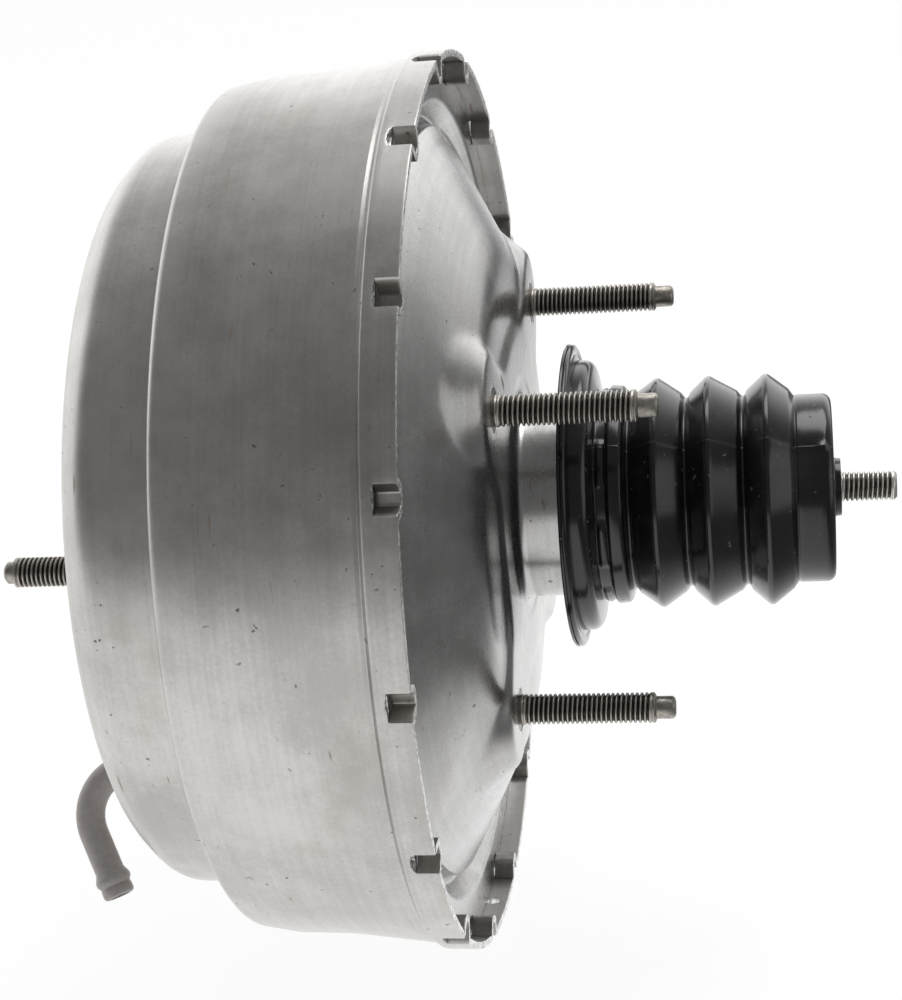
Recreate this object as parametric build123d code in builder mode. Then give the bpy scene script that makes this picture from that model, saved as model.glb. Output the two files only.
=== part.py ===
from build123d import *
import os
from math import atan2, cos, degrees, hypot, radians, sin, sqrt, tan

# A tandem vacuum brake booster, in millimetres.
# X runs along its axis, from the master cylinder at -X to the pedal at +X.
# X = 0 is the rear mounting face, and +Z is up as installed.

# Travel
stroke = 30.0
valve_stroke = 2.0

# Clearances
slide = 0.05
free = 0.3
seat = 0.1

# Front shell
front_gauge = 1.8
drum_radius = 116.5
rim_step = 4.0
skirt_rear_x = -12.6
shoulder_radius = 2.4
shoulder_root = 1.0
drum_swell = 3.3
drum_front_x = -71.2
drum_taper_x = -54.0
nose_step = 13.3
nose_draft = 0.6
nose_corner = 9.0
cone_rim_x = -97.6
pad_x = -109.0
pad_radius = 55.0
pad_step = 3.4
pilot_radius = 21.0
pilot_length = 6.0

# Crimped rim
lug_count = 16
lug_width = 7.3
lug_floor = 3.0
lug_depth = 5.0
lug_bend = 1.0
sight_hole_radius = 2.2
sight_hole_angle = -81.0
sight_hole_x = -16.7

# Rear shell
rear_gauge = 2.0
flange_face_x = -18.2
flange_width = 11.0
groove_depth = 2.7
groove_width = 3.3
cone_top_radius = 65.9
plateau_height = 1.2
plateau_centre_radius = 44.0
plateau_blend = 12.0
boss_radius = 13.5
boss_height = 11.0
boss_draft = 38.0
neck_radius = 27.0
neck_length = 19.0
neck_mouth_radius = 21.0

# Centre plate
divider_gauge = 1.2
divider_gap = 1.4
divider_flat_margin = 5.5
divider_ramp = 5.0
divider_collar_radius = 31.8
divider_collar_length = 7.5
guide_width = 3.3
lip_seal_width = 3.5

# Diaphragms and their plates
rubber = 1.8
bead = 3.0
bead_inset = 4.2
bead_width = 6.5
plate_gauge = 1.2
front_roll_room = 15.4
front_plate_lip = 4.0
front_roll = 19.8
front_roll_gap = 1.9
rear_roll_room = 16.2
rear_plate_flat_radius = 64.0
rear_plate_dish = 8.2
rear_plate_lip = 5.8
rear_roll = 26.3
rear_roll_gap = 0.7

# Power piston
hub_radius = 27.0
hub_rear_x = -17.0
hub_stop_gap = 3.3
nut_seat_radius = 26.0
nut_seat_length = 4.7
step_radius = 23.0
step_length = 7.0
tube_radius = 19.5
tube_end_x = 78.0
tube_lip_radius = 22.9
tube_lip_width = 4.5
chamber_radius = 16.5
pocket_floor_x = -40.0
pocket_outer_radius = 24.5
boss_outer_radius = 17.0
reaction_bore_radius = 13.0
reaction_x = -39.0
reaction_depth = 11.0
vacuum_hole_radius = 1.2
plate_nut_thickness = 2.7
plate_nut_rim = 5.0
ring_nut_thickness = 2.2
nut_notches = 6

# Valve
key_x = -4.3
key_gauge = 2.0
key_width = 14.0
key_slot_width = 9.6
key_reach = 31.0
key_top = 6.0
plunger_radius = 6.4
plunger_neck_radius = 4.5
air_seat_radius = 9.2
air_seat_x = 6.0
air_seat_thickness = 3.3
vacuum_seat_radius = 11.5
seat_rim = 2.0
ball_radius = 5.0
ball_x = 11.2
socket_wall = 1.8
poppet_thickness = 2.4
retainer_x = 20.2
retainer_length = 5.8
filter_x = 52.0
filter_split_x = 60.0

# Input rod
rod_radius = 4.75
rod_neck_radius = 3.2
rod_collar_x = 48.0
rod_collar_radius = 5.6
rod_collar_width = 2.0
rod_thread_radius = 4.0
rod_thread_x = 84.5
rod_tip_x = 99.0

# Output rod
output_radius = 6.5
output_head = 3.0
reaction_disc_thickness = 4.9
snap_ring = 1.7
output_rod_x = -96.0
output_tip_x = -102.6
adjuster_hex = 11.0
adjuster_hex_height = 3.0
adjuster_stub_radius = 3.0

# Springs
return_wire = 1.6
return_front_radius = 26.0
return_turns = 5.5
poppet_wire = 0.5
poppet_spring_radius = 11.5
rod_wire = 0.75
rod_spring_radius = 11.8

# Front pad
backing_gauge = 2.5
backing_inner_radius = 30.0
backing_outer_radius = 50.0
guide_gauge = 1.0
guide_sleeve = 0.7
output_seal_width = 3.5

# Studs
stud_radius = 4.0
stud_neck_radius = 5.6
dog_radius = 2.95
tip_chamfer = 0.8
rear_stud_y = 44.6
rear_stud_z = 41.4
rear_stud_length = 40.5
rear_dog_length = 5.5
rear_head_radius = 9.0
front_stud_y = 41.0
front_stud_length = 25.2
front_dog_length = 3.0
front_head_radius = 7.5
stud_head = 3.0

# Boot
boot_wall = 1.5
boot_flange_x = 12.0
boot_flange_radius = 41.0
boot_flange_thickness = 2.2
boot_bulge_radius = 36.5
boot_bulge_end_x = 20.0
boot_waist_radius = 28.5
boot_crest_radius = 30.8
boot_root_radius = 24.8
boot_folds = 3
boot_fold_x = 35.6
boot_fold_pitch = 14.9
boot_end_x = 82.5
boot_collar_radius = 25.0
boot_nozzle_radius = 7.8
boot_nozzle_length = 2.0

# Vacuum nipple
nipple_radius = 4.0
nipple_bore_radius = 2.8
nipple_collar_radius = 6.2
nipple_collar_height = 2.2
nipple_barb = 0.6
nipple_angle = -60.0
nipple_axis_radius = 67.0
nipple_bend = 13.0
nipple_lean = 24.2
nipple_run_x = -111.5
nipple_stub = 23.2


def half_section(*points):
    """A closed half section, X against radius, on the plane that holds the axis."""
    with BuildSketch(Plane.XY) as half:
        with BuildLine():
            Polyline(*points, close=True)
        make_face()
    return half.sketch


def ring(x_from, x_to, bore, outer):
    """The half section of a plain ring."""
    return half_section((x_from, bore), (x_to, bore), (x_to, outer), (x_from, outer))


def pressing(points, radii, gauge):
    """The half section of a pressed sheet, from its outer skin line, with the wall inside."""
    with BuildSketch(Plane.XY) as half:
        with BuildLine():
            FilletPolyline(*points, radius=radii)
            offset(amount=gauge, side=Side.RIGHT)
        make_face()
    return half.sketch


def hollow(points, radii, gauge, front_x):
    """The half section of the space inside a pressed sheet, from front_x to the sheet."""
    with BuildSketch(Plane.XY) as half:
        with BuildLine() as skin:
            FilletPolyline(*points, radius=radii)
            offset(amount=gauge, side=Side.RIGHT, closed=False, mode=Mode.REPLACE)
            rim, mouth = skin.line @ 0, skin.line @ 1
            Polyline(mouth, (mouth.X, 0), (front_x, 0), (front_x, rim.Y), rim)
        make_face()
    return half.sketch


def outwards(angle):
    """The direction straight out from the axis at this angle above -Y."""
    return Vector(0, -cos(radians(angle)), sin(radians(angle)))


def lug_profile():
    """A lug seen along the axis: down one ramp, across the floor and up the other."""
    edge = sqrt(skirt_radius**2 - (lug_width / 2) ** 2)
    floor = skirt_radius - lug_depth
    with BuildSketch() as profile:
        with BuildLine():
            FilletPolyline(
                (edge, -lug_width / 2),
                (floor, -lug_floor / 2),
                (floor, lug_floor / 2),
                (edge, lug_width / 2),
                radius=lug_bend,
            )
            offset(amount=front_gauge, side=Side.LEFT)
        make_face()
    return profile.sketch


def pad_outline(inset):
    """The raised centre of the mounting face, with an arm out to each stud."""
    reach = 2 * hypot(rear_stud_y, rear_stud_z)
    lean = degrees(atan2(rear_stud_z, rear_stud_y))
    with BuildSketch() as outline:
        Circle(plateau_centre_radius)
        SlotCenterToCenter(reach, 2 * boss_radius, rotation=lean)
        SlotCenterToCenter(reach, 2 * boss_radius, rotation=-lean)
        offset(amount=plateau_blend)
        offset(amount=-plateau_blend - inset)
    return outline.sketch


def coil(x_from, x_to, radius_from, radius_to, wire, turns):
    """A wire spring wound round the axis."""
    length = x_to - x_from
    narrowing = degrees(atan2(radius_to - radius_from, length))
    path = Helix(length / turns, length, radius_from, (x_from, 0, 0), (1, 0, 0), narrowing)
    with BuildPart() as spring:
        with BuildSketch(Plane(origin=path @ 0, z_dir=path % 0)):
            Circle(wire)
        sweep(path=path, is_frenet=True)
    return spring.part


def notched_ring(x_from, x_to, bore, outer):
    """A ring nut with notches in its rim for a peg spanner."""
    with BuildPart() as nut:
        revolve(ring(x_from, x_to, bore, outer), axis=Axis.X)
        with BuildSketch(Plane.YZ.offset(x_from)):
            with PolarLocations(outer, nut_notches):
                Rectangle(bead, bead)
        extrude(amount=x_to - x_from, mode=Mode.SUBTRACT)
    return nut.part


# Sizes that follow from the drum, from the rim forwards
skirt_radius = drum_radius + rim_step
drum_mouth_radius = drum_radius - drum_swell
nose_radius = drum_radius - nose_step
nose_front_radius = nose_radius - nose_draft
skirt_bore = skirt_radius - front_gauge
flange_radius = skirt_bore - 2 * seat
flange_inner_radius = flange_radius - flange_width
cone_foot_radius = flange_inner_radius - groove_width
flange_front_x = flange_face_x - rear_gauge
divider_flange_x = flange_front_x - bead - divider_gauge
shoulder_x = divider_flange_x - seat
lug_front_x = flange_face_x + seat
drum_bore = drum_radius - front_gauge
nose_bore = nose_radius - front_gauge
mouth_seat_x = drum_front_x + front_gauge
divider_radius = drum_bore - free
front_plate_radius = nose_bore - front_roll_room
rear_plate_radius = divider_radius - divider_gauge - rear_roll_room
divider_flat_radius = front_plate_radius + divider_flat_margin
divider_foot_radius = divider_flat_radius + divider_ramp
bead_outer_radius = drum_mouth_radius - bead_inset
front_bead_x = mouth_seat_x + seat
divider_seat_x = front_bead_x + bead + seat
pad_inside_x = pad_x + front_gauge
pilot_end_x = pad_x + pilot_length
output_seal_x = pilot_end_x + seat
guide_end_x = output_seal_x + output_seal_width + seat + guide_gauge
stud_hole_radius = stud_neck_radius + seat

# Places along the power piston
nut_end_x = guide_end_x + hub_stop_gap + stroke
hub_front_x = nut_end_x + nut_seat_length
front_web_x = hub_front_x + seat
divider_x = front_web_x + rubber + divider_gap
disc_x = reaction_x - seat - reaction_disc_thickness
boss_front_x = reaction_x - reaction_depth
ratio_radius = plunger_radius + slide
flange_stop_x = key_x + key_gauge + free + valve_stroke
chamber_front_x = flange_stop_x + 2 * seat

# Front shell: a deep drawn cup with a pilot collar, a pad, a cone, a nose, a drum and the rim skirt
cone_foot = (pad_x + pad_step, pad_radius + pad_step)
cone_rim = (cone_rim_x, nose_front_radius - nose_corner * 0.75)
cone_slope = (cone_rim[0] - cone_foot[0]) / (cone_rim[1] - cone_foot[1])
nipple_seat_x = cone_foot[0] + cone_slope * (nipple_axis_radius - cone_foot[1])
nipple_centre = outwards(nipple_angle) * nipple_axis_radius

with BuildPart() as front_shell:
    cup_line = [
        (pilot_end_x, pilot_radius),
        (pad_x, pilot_radius),
        (pad_x, pad_radius),
        cone_foot,
        cone_rim,
        (cone_rim_x + nose_corner * 0.75, nose_front_radius),
        (drum_front_x - front_gauge, nose_radius),
        (drum_front_x, nose_radius + front_gauge),
        (drum_front_x, drum_mouth_radius),
        (drum_taper_x, drum_radius),
        (shoulder_x - front_gauge, drum_radius),
        (shoulder_x - front_gauge, skirt_radius),
        (skirt_rear_x, skirt_radius),
    ]
    cup_radii = [1.0, 3.0, 6.0, 8.0, 8.0, 1.0, 1.0, 2.2, 20.0, shoulder_root, shoulder_radius]
    revolve(pressing(cup_line, cup_radii, front_gauge), axis=Axis.X)
    # Lugs sheared from the skirt along their front edge and pressed in over the rear flange
    with BuildSketch(Plane.YZ.offset(lug_front_x)):
        with PolarLocations(skirt_radius - front_gauge / 2, lug_count):
            Rectangle(2 * front_gauge, lug_width)
    extrude(amount=skirt_rear_x - lug_front_x, mode=Mode.SUBTRACT)
    with BuildSketch(Plane.YZ.offset(lug_front_x)):
        with PolarLocations(0, lug_count):
            add(lug_profile())
    extrude(amount=skirt_rear_x - lug_front_x)
    # Holes for the studs, for the nipple and for looking at the rim from outside
    with BuildSketch(Plane.YZ.offset(pad_x)):
        with GridLocations(2 * front_stud_y, 0, 2, 1):
            Circle(stud_hole_radius)
    extrude(amount=front_gauge, mode=Mode.SUBTRACT)
    with BuildSketch(Plane.YZ.offset(nipple_seat_x - nipple_radius)):
        with Locations((nipple_centre.Y, nipple_centre.Z)):
            Circle(nipple_radius + seat)
    extrude(amount=3 * nipple_radius, mode=Mode.SUBTRACT)
    with BuildSketch(Plane(origin=(sight_hole_x, 0, 0), z_dir=outwards(sight_hole_angle))):
        Circle(sight_hole_radius)
    extrude(amount=skirt_radius + front_gauge, mode=Mode.SUBTRACT)
front_shell.part.label = "front_shell"

# Rear shell: a shallow cone with a clamped rim, a raised pad with a boss round each stud, and a neck
rear_line = [
    (flange_face_x, flange_radius),
    (flange_face_x, flange_inner_radius),
    (flange_face_x - groove_depth, cone_foot_radius),
    (-plateau_height, cone_top_radius),
    (-plateau_height, neck_radius),
    (neck_length, neck_radius),
    (neck_length, neck_mouth_radius),
]
rear_radii = [2.5, 3.0, 12.0, 3.0, 2.5]
rear_mounting_plane = Plane(origin=(0, 0, 0), x_dir=(0, 1, 0), z_dir=(-1, 0, 0))
boss_wall = rear_gauge / cos(radians(boss_draft))
boss_inner_radius = boss_radius + rear_gauge * tan(radians(boss_draft)) - boss_wall

with BuildPart() as rear_shell:
    revolve(pressing(rear_line, rear_radii, rear_gauge), axis=Axis.X)
    with BuildSketch(rear_mounting_plane):
        add(pad_outline(0))
    extrude(amount=plateau_height + rear_gauge)
    with BuildSketch(rear_mounting_plane):
        with GridLocations(2 * rear_stud_y, 2 * rear_stud_z, 2, 2):
            Circle(boss_radius)
    extrude(amount=boss_height, taper=-boss_draft)
    revolve(
        hollow(rear_line, rear_radii, rear_gauge, flange_front_x - boss_height),
        axis=Axis.X,
        mode=Mode.SUBTRACT,
    )
    with BuildSketch(rear_mounting_plane.offset(rear_gauge)):
        add(pad_outline(rear_gauge))
    extrude(amount=plateau_height + rear_gauge, mode=Mode.SUBTRACT)
    with BuildSketch(rear_mounting_plane.offset(rear_gauge)):
        with GridLocations(2 * rear_stud_y, 2 * rear_stud_z, 2, 2):
            Circle(boss_inner_radius)
    extrude(amount=boss_height, taper=-boss_draft, mode=Mode.SUBTRACT)
    with BuildSketch(rear_mounting_plane):
        with GridLocations(2 * rear_stud_y, 2 * rear_stud_z, 2, 2):
            Circle(stud_hole_radius)
    extrude(amount=rear_gauge, mode=Mode.SUBTRACT)
rear_shell.part.label = "rear_shell"

# Centre plate: a stepped pressing that divides the two chambers, clamped at the rim
with BuildPart() as centre_plate:
    divider_line = [
        (divider_x + divider_collar_length, divider_collar_radius),
        (divider_x, divider_collar_radius),
        (divider_x, divider_flat_radius),
        (divider_seat_x, divider_foot_radius),
        (divider_seat_x, drum_mouth_radius - front_gauge - free),
        (drum_taper_x, divider_radius),
        (divider_flange_x, divider_radius),
        (divider_flange_x, skirt_bore - (shoulder_radius - front_gauge)),
    ]
    divider_bend = shoulder_root + front_gauge + seat
    divider_radii = [1.5, 3.0, 3.0, 2.5, 15.0, divider_bend]
    revolve(pressing(divider_line, divider_radii, divider_gauge), axis=Axis.X)
centre_plate.part.label = "centre_plate"

# The guide ring and the lip seal that the hub of the piston slides in
guide_x = divider_x + 2 * seat
lip_seal_x = guide_x + guide_width + 2 * seat
with BuildPart() as guide_ring:
    revolve(ring(guide_x, guide_x + guide_width, hub_radius + slide, divider_collar_radius - seat), axis=Axis.X)
guide_ring.part.label = "guide_ring"

with BuildPart() as centre_seal:
    seal_end_x = lip_seal_x + lip_seal_width
    seal_section = half_section(
        (lip_seal_x, hub_radius + free),
        (lip_seal_x, divider_collar_radius - seat),
        (seal_end_x, divider_collar_radius - seat),
        (seal_end_x, divider_collar_radius - 1.5),
        (lip_seal_x + 1.2, divider_collar_radius - 1.5),
        (lip_seal_x + 1.2, hub_radius + 1.5),
        (seal_end_x, hub_radius + 1.2),
        (seal_end_x, hub_radius + free),
    )
    revolve(seal_section, axis=Axis.X)
centre_seal.part.label = "centre_seal"

# Studs: clinched through the sheet, with a broad head inside and a dog point
with BuildPart() as rear_stud:
    rear_thread_x = rear_stud_length - rear_dog_length
    rear_stud_section = half_section(
        (-rear_gauge - stud_head, 0),
        (-rear_gauge - stud_head, rear_head_radius),
        (-rear_gauge, rear_head_radius),
        (-rear_gauge, stud_neck_radius),
        (0, stud_neck_radius),
        (0, stud_radius),
        (rear_thread_x, stud_radius),
        (rear_thread_x, dog_radius),
        (rear_stud_length - tip_chamfer, dog_radius),
        (rear_stud_length, dog_radius - tip_chamfer),
        (rear_stud_length, 0),
    )
    revolve(rear_stud_section, axis=Axis.X)

with BuildPart() as rear_studs:
    corners = [(0, y, z) for y in (-rear_stud_y, rear_stud_y) for z in (-rear_stud_z, rear_stud_z)]
    with Locations(*corners):
        add(rear_stud.part)
rear_studs.part.label = "rear_studs"

with BuildPart() as backing_plate:
    revolve(ring(pad_inside_x, pad_inside_x + backing_gauge, backing_inner_radius, backing_outer_radius), axis=Axis.X)
    with BuildSketch(Plane.YZ.offset(pad_inside_x)):
        with GridLocations(2 * front_stud_y, 0, 2, 1):
            Circle(stud_hole_radius)
    extrude(amount=backing_gauge, mode=Mode.SUBTRACT)
backing_plate.part.label = "backing_plate"

with BuildPart() as front_stud:
    front_head_x = pad_inside_x + backing_gauge
    front_tip_x = pad_x - front_stud_length
    front_stud_section = half_section(
        (front_head_x + stud_head, 0),
        (front_head_x + stud_head, front_head_radius),
        (front_head_x, front_head_radius),
        (front_head_x, stud_neck_radius),
        (pad_x, stud_neck_radius),
        (pad_x, stud_radius),
        (front_tip_x + front_dog_length, stud_radius),
        (front_tip_x + front_dog_length, dog_radius),
        (front_tip_x + tip_chamfer, dog_radius),
        (front_tip_x, dog_radius - tip_chamfer),
        (front_tip_x, 0),
    )
    revolve(front_stud_section, axis=Axis.X)

with BuildPart() as front_studs:
    with Locations((0, -front_stud_y, 0), (0, front_stud_y, 0)):
        add(front_stud.part)
front_studs.part.label = "front_studs"

# The cup that holds the output rod's seal and carries the return spring
sleeve_bore = pilot_radius + front_gauge + seat
sleeve_radius = sleeve_bore + guide_sleeve
with BuildPart() as spring_guide:
    guide_section = half_section(
        (pad_inside_x + seat, sleeve_bore),
        (guide_end_x - guide_gauge, sleeve_bore),
        (guide_end_x - guide_gauge, output_radius + 3.5),
        (guide_end_x, output_radius + 3.5),
        (guide_end_x, sleeve_radius),
        (pad_inside_x + seat + guide_gauge, sleeve_radius),
        (pad_inside_x + seat + guide_gauge, backing_inner_radius - 2 * seat),
        (pad_inside_x + seat, backing_inner_radius - 2 * seat),
    )
    revolve(guide_section, axis=Axis.X)
spring_guide.part.label = "spring_guide"

with BuildPart() as output_rod_seal:
    revolve(
        ring(output_seal_x, output_seal_x + output_seal_width, output_radius + free, sleeve_bore - 0.4),
        axis=Axis.X,
    )
    fillet(output_rod_seal.edges().group_by(Axis.X)[-1], radius=1.0)
output_rod_seal.part.label = "output_rod_seal"

with BuildPart() as return_spring:
    spring_front_x = pad_inside_x + seat + guide_gauge + seat + return_wire
    spring_rear_x = pocket_floor_x - seat - return_wire
    spring_rear_radius = (boss_outer_radius + pocket_outer_radius) / 2 - seat
    add(coil(spring_front_x, spring_rear_x, return_front_radius, spring_rear_radius, return_wire, return_turns))
return_spring.part.label = "return_spring"

# Vacuum nipple: a bent tube brazed to the cone, with a barb for the hose
with BuildPart() as vacuum_nipple:
    nipple_plane = Plane(origin=(0, 0, 0), x_dir=(1, 0, 0), z_dir=Vector(1, 0, 0).cross(outwards(nipple_angle)))
    with BuildLine(nipple_plane) as nipple_path:
        root = Line((nipple_seat_x + 2 * front_gauge, nipple_axis_radius), (nipple_run_x, nipple_axis_radius))
        elbow = JernArc(root @ 1, root % 1, nipple_bend, -(90 + nipple_lean))
        stub = Line(elbow @ 1, (elbow @ 1) + (elbow % 1) * nipple_stub)
    tube_start = Plane(origin=nipple_path.line @ 0, z_dir=nipple_path.line % 0)
    tube_end = Plane(origin=nipple_path.line @ 1, z_dir=nipple_path.line % 1)
    nipple_root = nipple_centre + Vector(nipple_seat_x, 0, 0)
    cone_normal = (outwards(nipple_angle) * cone_slope - Vector(1, 0, 0)).normalized()
    with BuildSketch(Plane(origin=nipple_root + Vector(nipple_radius, 0, 0), z_dir=(-1, 0, 0))):
        Circle(nipple_collar_radius)
    extrude(amount=nipple_radius + nipple_collar_height)
    split(bisect_by=Plane(origin=nipple_root + cone_normal * seat, z_dir=cone_normal), keep=Keep.TOP)
    with BuildSketch(tube_start):
        Circle(nipple_radius)
    sweep(path=nipple_path.line)
    with BuildSketch(tube_end.offset(-3 * nipple_radius)):
        Circle(nipple_radius + nipple_barb)
    extrude(amount=2 * nipple_radius, taper=3)
    with BuildSketch(tube_start):
        Circle(nipple_bore_radius)
    sweep(path=nipple_path.line, mode=Mode.SUBTRACT)
vacuum_nipple.part.label = "vacuum_nipple"

# Neck of the rear shell: a lip seal and a bearing round the piston's tube
body_seal_x = 1.0
body_seal_width = 8.0
neck_bore = neck_radius - rear_gauge
with BuildPart() as body_seal:
    body_seal_end_x = body_seal_x + body_seal_width
    body_seal_section = half_section(
        (body_seal_x, tube_radius + free),
        (body_seal_x, tube_radius + 1.8),
        (body_seal_end_x - 2.0, tube_radius + 2.6),
        (body_seal_end_x - 2.0, neck_bore - 1.2),
        (body_seal_x + 1.0, neck_bore - 1.2),
        (body_seal_x + 1.0, neck_bore - seat),
        (body_seal_end_x, neck_bore - seat),
        (body_seal_end_x, tube_radius + free),
    )
    revolve(body_seal_section, axis=Axis.X)
body_seal.part.label = "body_seal"

with BuildPart() as body_bearing:
    bearing_x = body_seal_end_x + 2 * seat
    bearing_end_x = neck_length - rear_gauge - 2 * seat
    revolve(ring(bearing_x, bearing_end_x, tube_radius + slide, neck_bore - seat), axis=Axis.X)
body_bearing.part.label = "body_bearing"

# Boot: a flange against the mounting face, a bulge over the neck, three folds, a collar and a nozzle
with BuildPart() as boot:
    boot_line = [
        (boot_flange_x + seat, boot_bulge_radius),
        (boot_bulge_end_x, boot_bulge_radius),
        (boot_bulge_end_x + 1.5, boot_waist_radius),
        (boot_fold_x - boot_fold_pitch / 2 - 1.0, boot_waist_radius),
    ]
    for fold in range(boot_folds):
        crest_x = boot_fold_x + fold * boot_fold_pitch
        boot_line.append((crest_x - boot_fold_pitch / 2 + 1.5, boot_root_radius))
        boot_line.append((crest_x, boot_crest_radius))
    boot_line.append((crest_x + boot_fold_pitch / 2, boot_collar_radius))
    boot_line.append((boot_end_x, boot_collar_radius))
    boot_line.append((boot_end_x, boot_nozzle_radius))
    boot_radii = [2.5, 1.5, 2.0] + [2.0] * (2 * boot_folds) + [2.0, 4.0]
    revolve(pressing(boot_line, boot_radii, boot_wall), axis=Axis.X)
    revolve(
        ring(boot_flange_x, boot_flange_x + boot_flange_thickness, neck_radius + free, boot_flange_radius),
        axis=Axis.X,
    )
    revolve(
        ring(boot_end_x - boot_wall, boot_end_x + boot_nozzle_length, rod_radius + free, boot_nozzle_radius),
        axis=Axis.X,
    )
boot.part.label = "boot"

# Diaphragms: a bead in the piston's hub, a web behind its plate, a rolling fold and a bead at the rim
with BuildPart() as front_diaphragm:
    front_roll_bore = front_plate_radius + plate_gauge + free
    front_roll_outer = nose_bore - front_roll_gap
    front_rubber_line = [
        (front_web_x, hub_radius + seat),
        (front_web_x, front_roll_bore),
        (front_web_x - front_roll, front_roll_bore),
        (front_web_x - front_roll, front_roll_outer),
        (front_bead_x, front_roll_outer),
        (front_bead_x, bead_outer_radius),
    ]
    revolve(pressing(front_rubber_line, [2.0, 4.5, 4.5, 1.5], rubber), axis=Axis.X)
    revolve(
        ring(front_bead_x, front_bead_x + bead, bead_outer_radius - bead_width, bead_outer_radius),
        axis=Axis.X,
    )
front_diaphragm.part.label = "front_diaphragm"

rear_plate_x = hub_rear_x
rear_web_x = rear_plate_x + plate_gauge + seat
rear_edge_x = rear_plate_x - rear_plate_dish
with BuildPart() as rear_diaphragm:
    rear_roll_bore = rear_plate_radius + plate_gauge + 1.5 * free
    rear_roll_outer = divider_radius - divider_gauge - rear_roll_gap
    rear_slope = rear_plate_dish / (rear_plate_radius - rear_plate_flat_radius)
    rear_rubber_line = [
        (rear_web_x, step_radius + seat),
        (rear_web_x, rear_plate_flat_radius),
        (rear_web_x + seat - rear_slope * (rear_roll_bore - rear_plate_flat_radius), rear_roll_bore),
        (rear_web_x - rear_roll, rear_roll_bore),
        (rear_web_x - rear_roll, rear_roll_outer),
        (flange_front_x - bead, rear_roll_outer),
        (flange_front_x - bead, flange_radius - seat),
    ]
    revolve(pressing(rear_rubber_line, [8.0, 1.5, 5.0, 5.0, 1.0], rubber), axis=Axis.X)
    rim_bead = ring(flange_front_x - bead, flange_front_x, flange_radius - 5.0, flange_radius - seat)
    revolve(rim_bead, axis=Axis.X)
rear_diaphragm.part.label = "rear_diaphragm"

# Power piston: the moulded body that carries both plates and the valve
with BuildPart() as valve_body:
    step_end_x = hub_rear_x + step_length
    body_section = half_section(
        (nut_end_x, pocket_outer_radius),
        (nut_end_x, nut_seat_radius),
        (hub_front_x, nut_seat_radius),
        (hub_front_x, hub_radius),
        (hub_rear_x, hub_radius),
        (hub_rear_x, step_radius),
        (step_end_x, step_radius),
        (step_end_x, tube_radius),
        (tube_end_x - tube_lip_width, tube_radius),
        (tube_end_x - tube_lip_width, tube_lip_radius),
        (tube_end_x, tube_lip_radius),
        (tube_end_x, chamber_radius),
        (chamber_front_x, chamber_radius),
        (chamber_front_x, vacuum_seat_radius + seat_rim),
        (air_seat_x, vacuum_seat_radius + seat_rim),
        (air_seat_x, vacuum_seat_radius),
        (chamber_front_x, vacuum_seat_radius),
        (chamber_front_x, ratio_radius),
        (reaction_x, ratio_radius),
        (reaction_x, reaction_bore_radius),
        (boss_front_x, reaction_bore_radius),
        (boss_front_x, boss_outer_radius),
        (pocket_floor_x, boss_outer_radius),
        (pocket_floor_x, pocket_outer_radius),
    )
    revolve(body_section, axis=Axis.X)
    # Vacuum passages from the front chamber to the outside of the vacuum seat
    with BuildSketch(Plane.YZ.offset(boss_front_x)):
        with PolarLocations((reaction_bore_radius + boss_outer_radius) / 2, 4, start_angle=45):
            Circle(vacuum_hole_radius)
    extrude(amount=chamber_front_x - boss_front_x, mode=Mode.SUBTRACT)
    # The slot for the stop key, open below
    with BuildSketch(Plane.YZ.offset(key_x - seat)):
        with Locations((0, key_top + free)):
            Rectangle(key_width + 2 * seat, key_reach + key_top, align=(Align.CENTER, Align.MAX))
    extrude(amount=key_gauge + 2 * seat, mode=Mode.SUBTRACT)
valve_body.part.label = "valve_body"

with BuildPart() as stop_key:
    with BuildSketch(Plane.YZ.offset(key_x)):
        with Locations((0, -key_reach)):
            Rectangle(key_width, key_reach + key_top, align=(Align.CENTER, Align.MIN))
        with Locations((0, -key_reach)):
            Rectangle(key_width + 4.0, 3.0, align=(Align.CENTER, Align.MIN))
        Circle(key_slot_width / 2, mode=Mode.SUBTRACT)
        Rectangle(key_slot_width, key_reach, align=(Align.CENTER, Align.MIN), mode=Mode.SUBTRACT)
    extrude(amount=key_gauge)
stop_key.part.label = "stop_key"

with BuildPart() as front_plate:
    front_plate_x = hub_front_x - plate_gauge
    front_plate_line = [
        (front_plate_x, nut_seat_radius + seat),
        (front_plate_x, front_plate_radius),
        (front_plate_x - front_plate_lip, front_plate_radius),
    ]
    revolve(pressing(front_plate_line, [2.5], plate_gauge), axis=Axis.X)
front_plate.part.label = "front_plate"

with BuildPart() as front_plate_nut:
    nut_x = front_plate_x - seat
    add(notched_ring(nut_x - plate_nut_thickness, nut_x, nut_seat_radius + slide, nut_seat_radius + plate_nut_rim))
front_plate_nut.part.label = "front_plate_nut"

with BuildPart() as rear_plate:
    rear_plate_line = [
        (rear_plate_x, step_radius + seat),
        (rear_plate_x, rear_plate_flat_radius),
        (rear_edge_x, rear_plate_radius),
        (rear_edge_x - rear_plate_lip, rear_plate_radius),
    ]
    revolve(pressing(rear_plate_line, [8.0, 2.0], plate_gauge), axis=Axis.X)
rear_plate.part.label = "rear_plate"

with BuildPart() as rear_plate_nut:
    rear_nut_x = rear_web_x + rubber + 2 * seat
    add(notched_ring(rear_nut_x, rear_nut_x + ring_nut_thickness, step_radius + slide, step_radius + plate_nut_rim))
rear_plate_nut.part.label = "rear_plate_nut"

with BuildPart() as reaction_disc:
    revolve(ring(disc_x, disc_x + reaction_disc_thickness, 0, reaction_bore_radius - free), axis=Axis.X)
reaction_disc.part.label = "reaction_disc"

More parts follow.
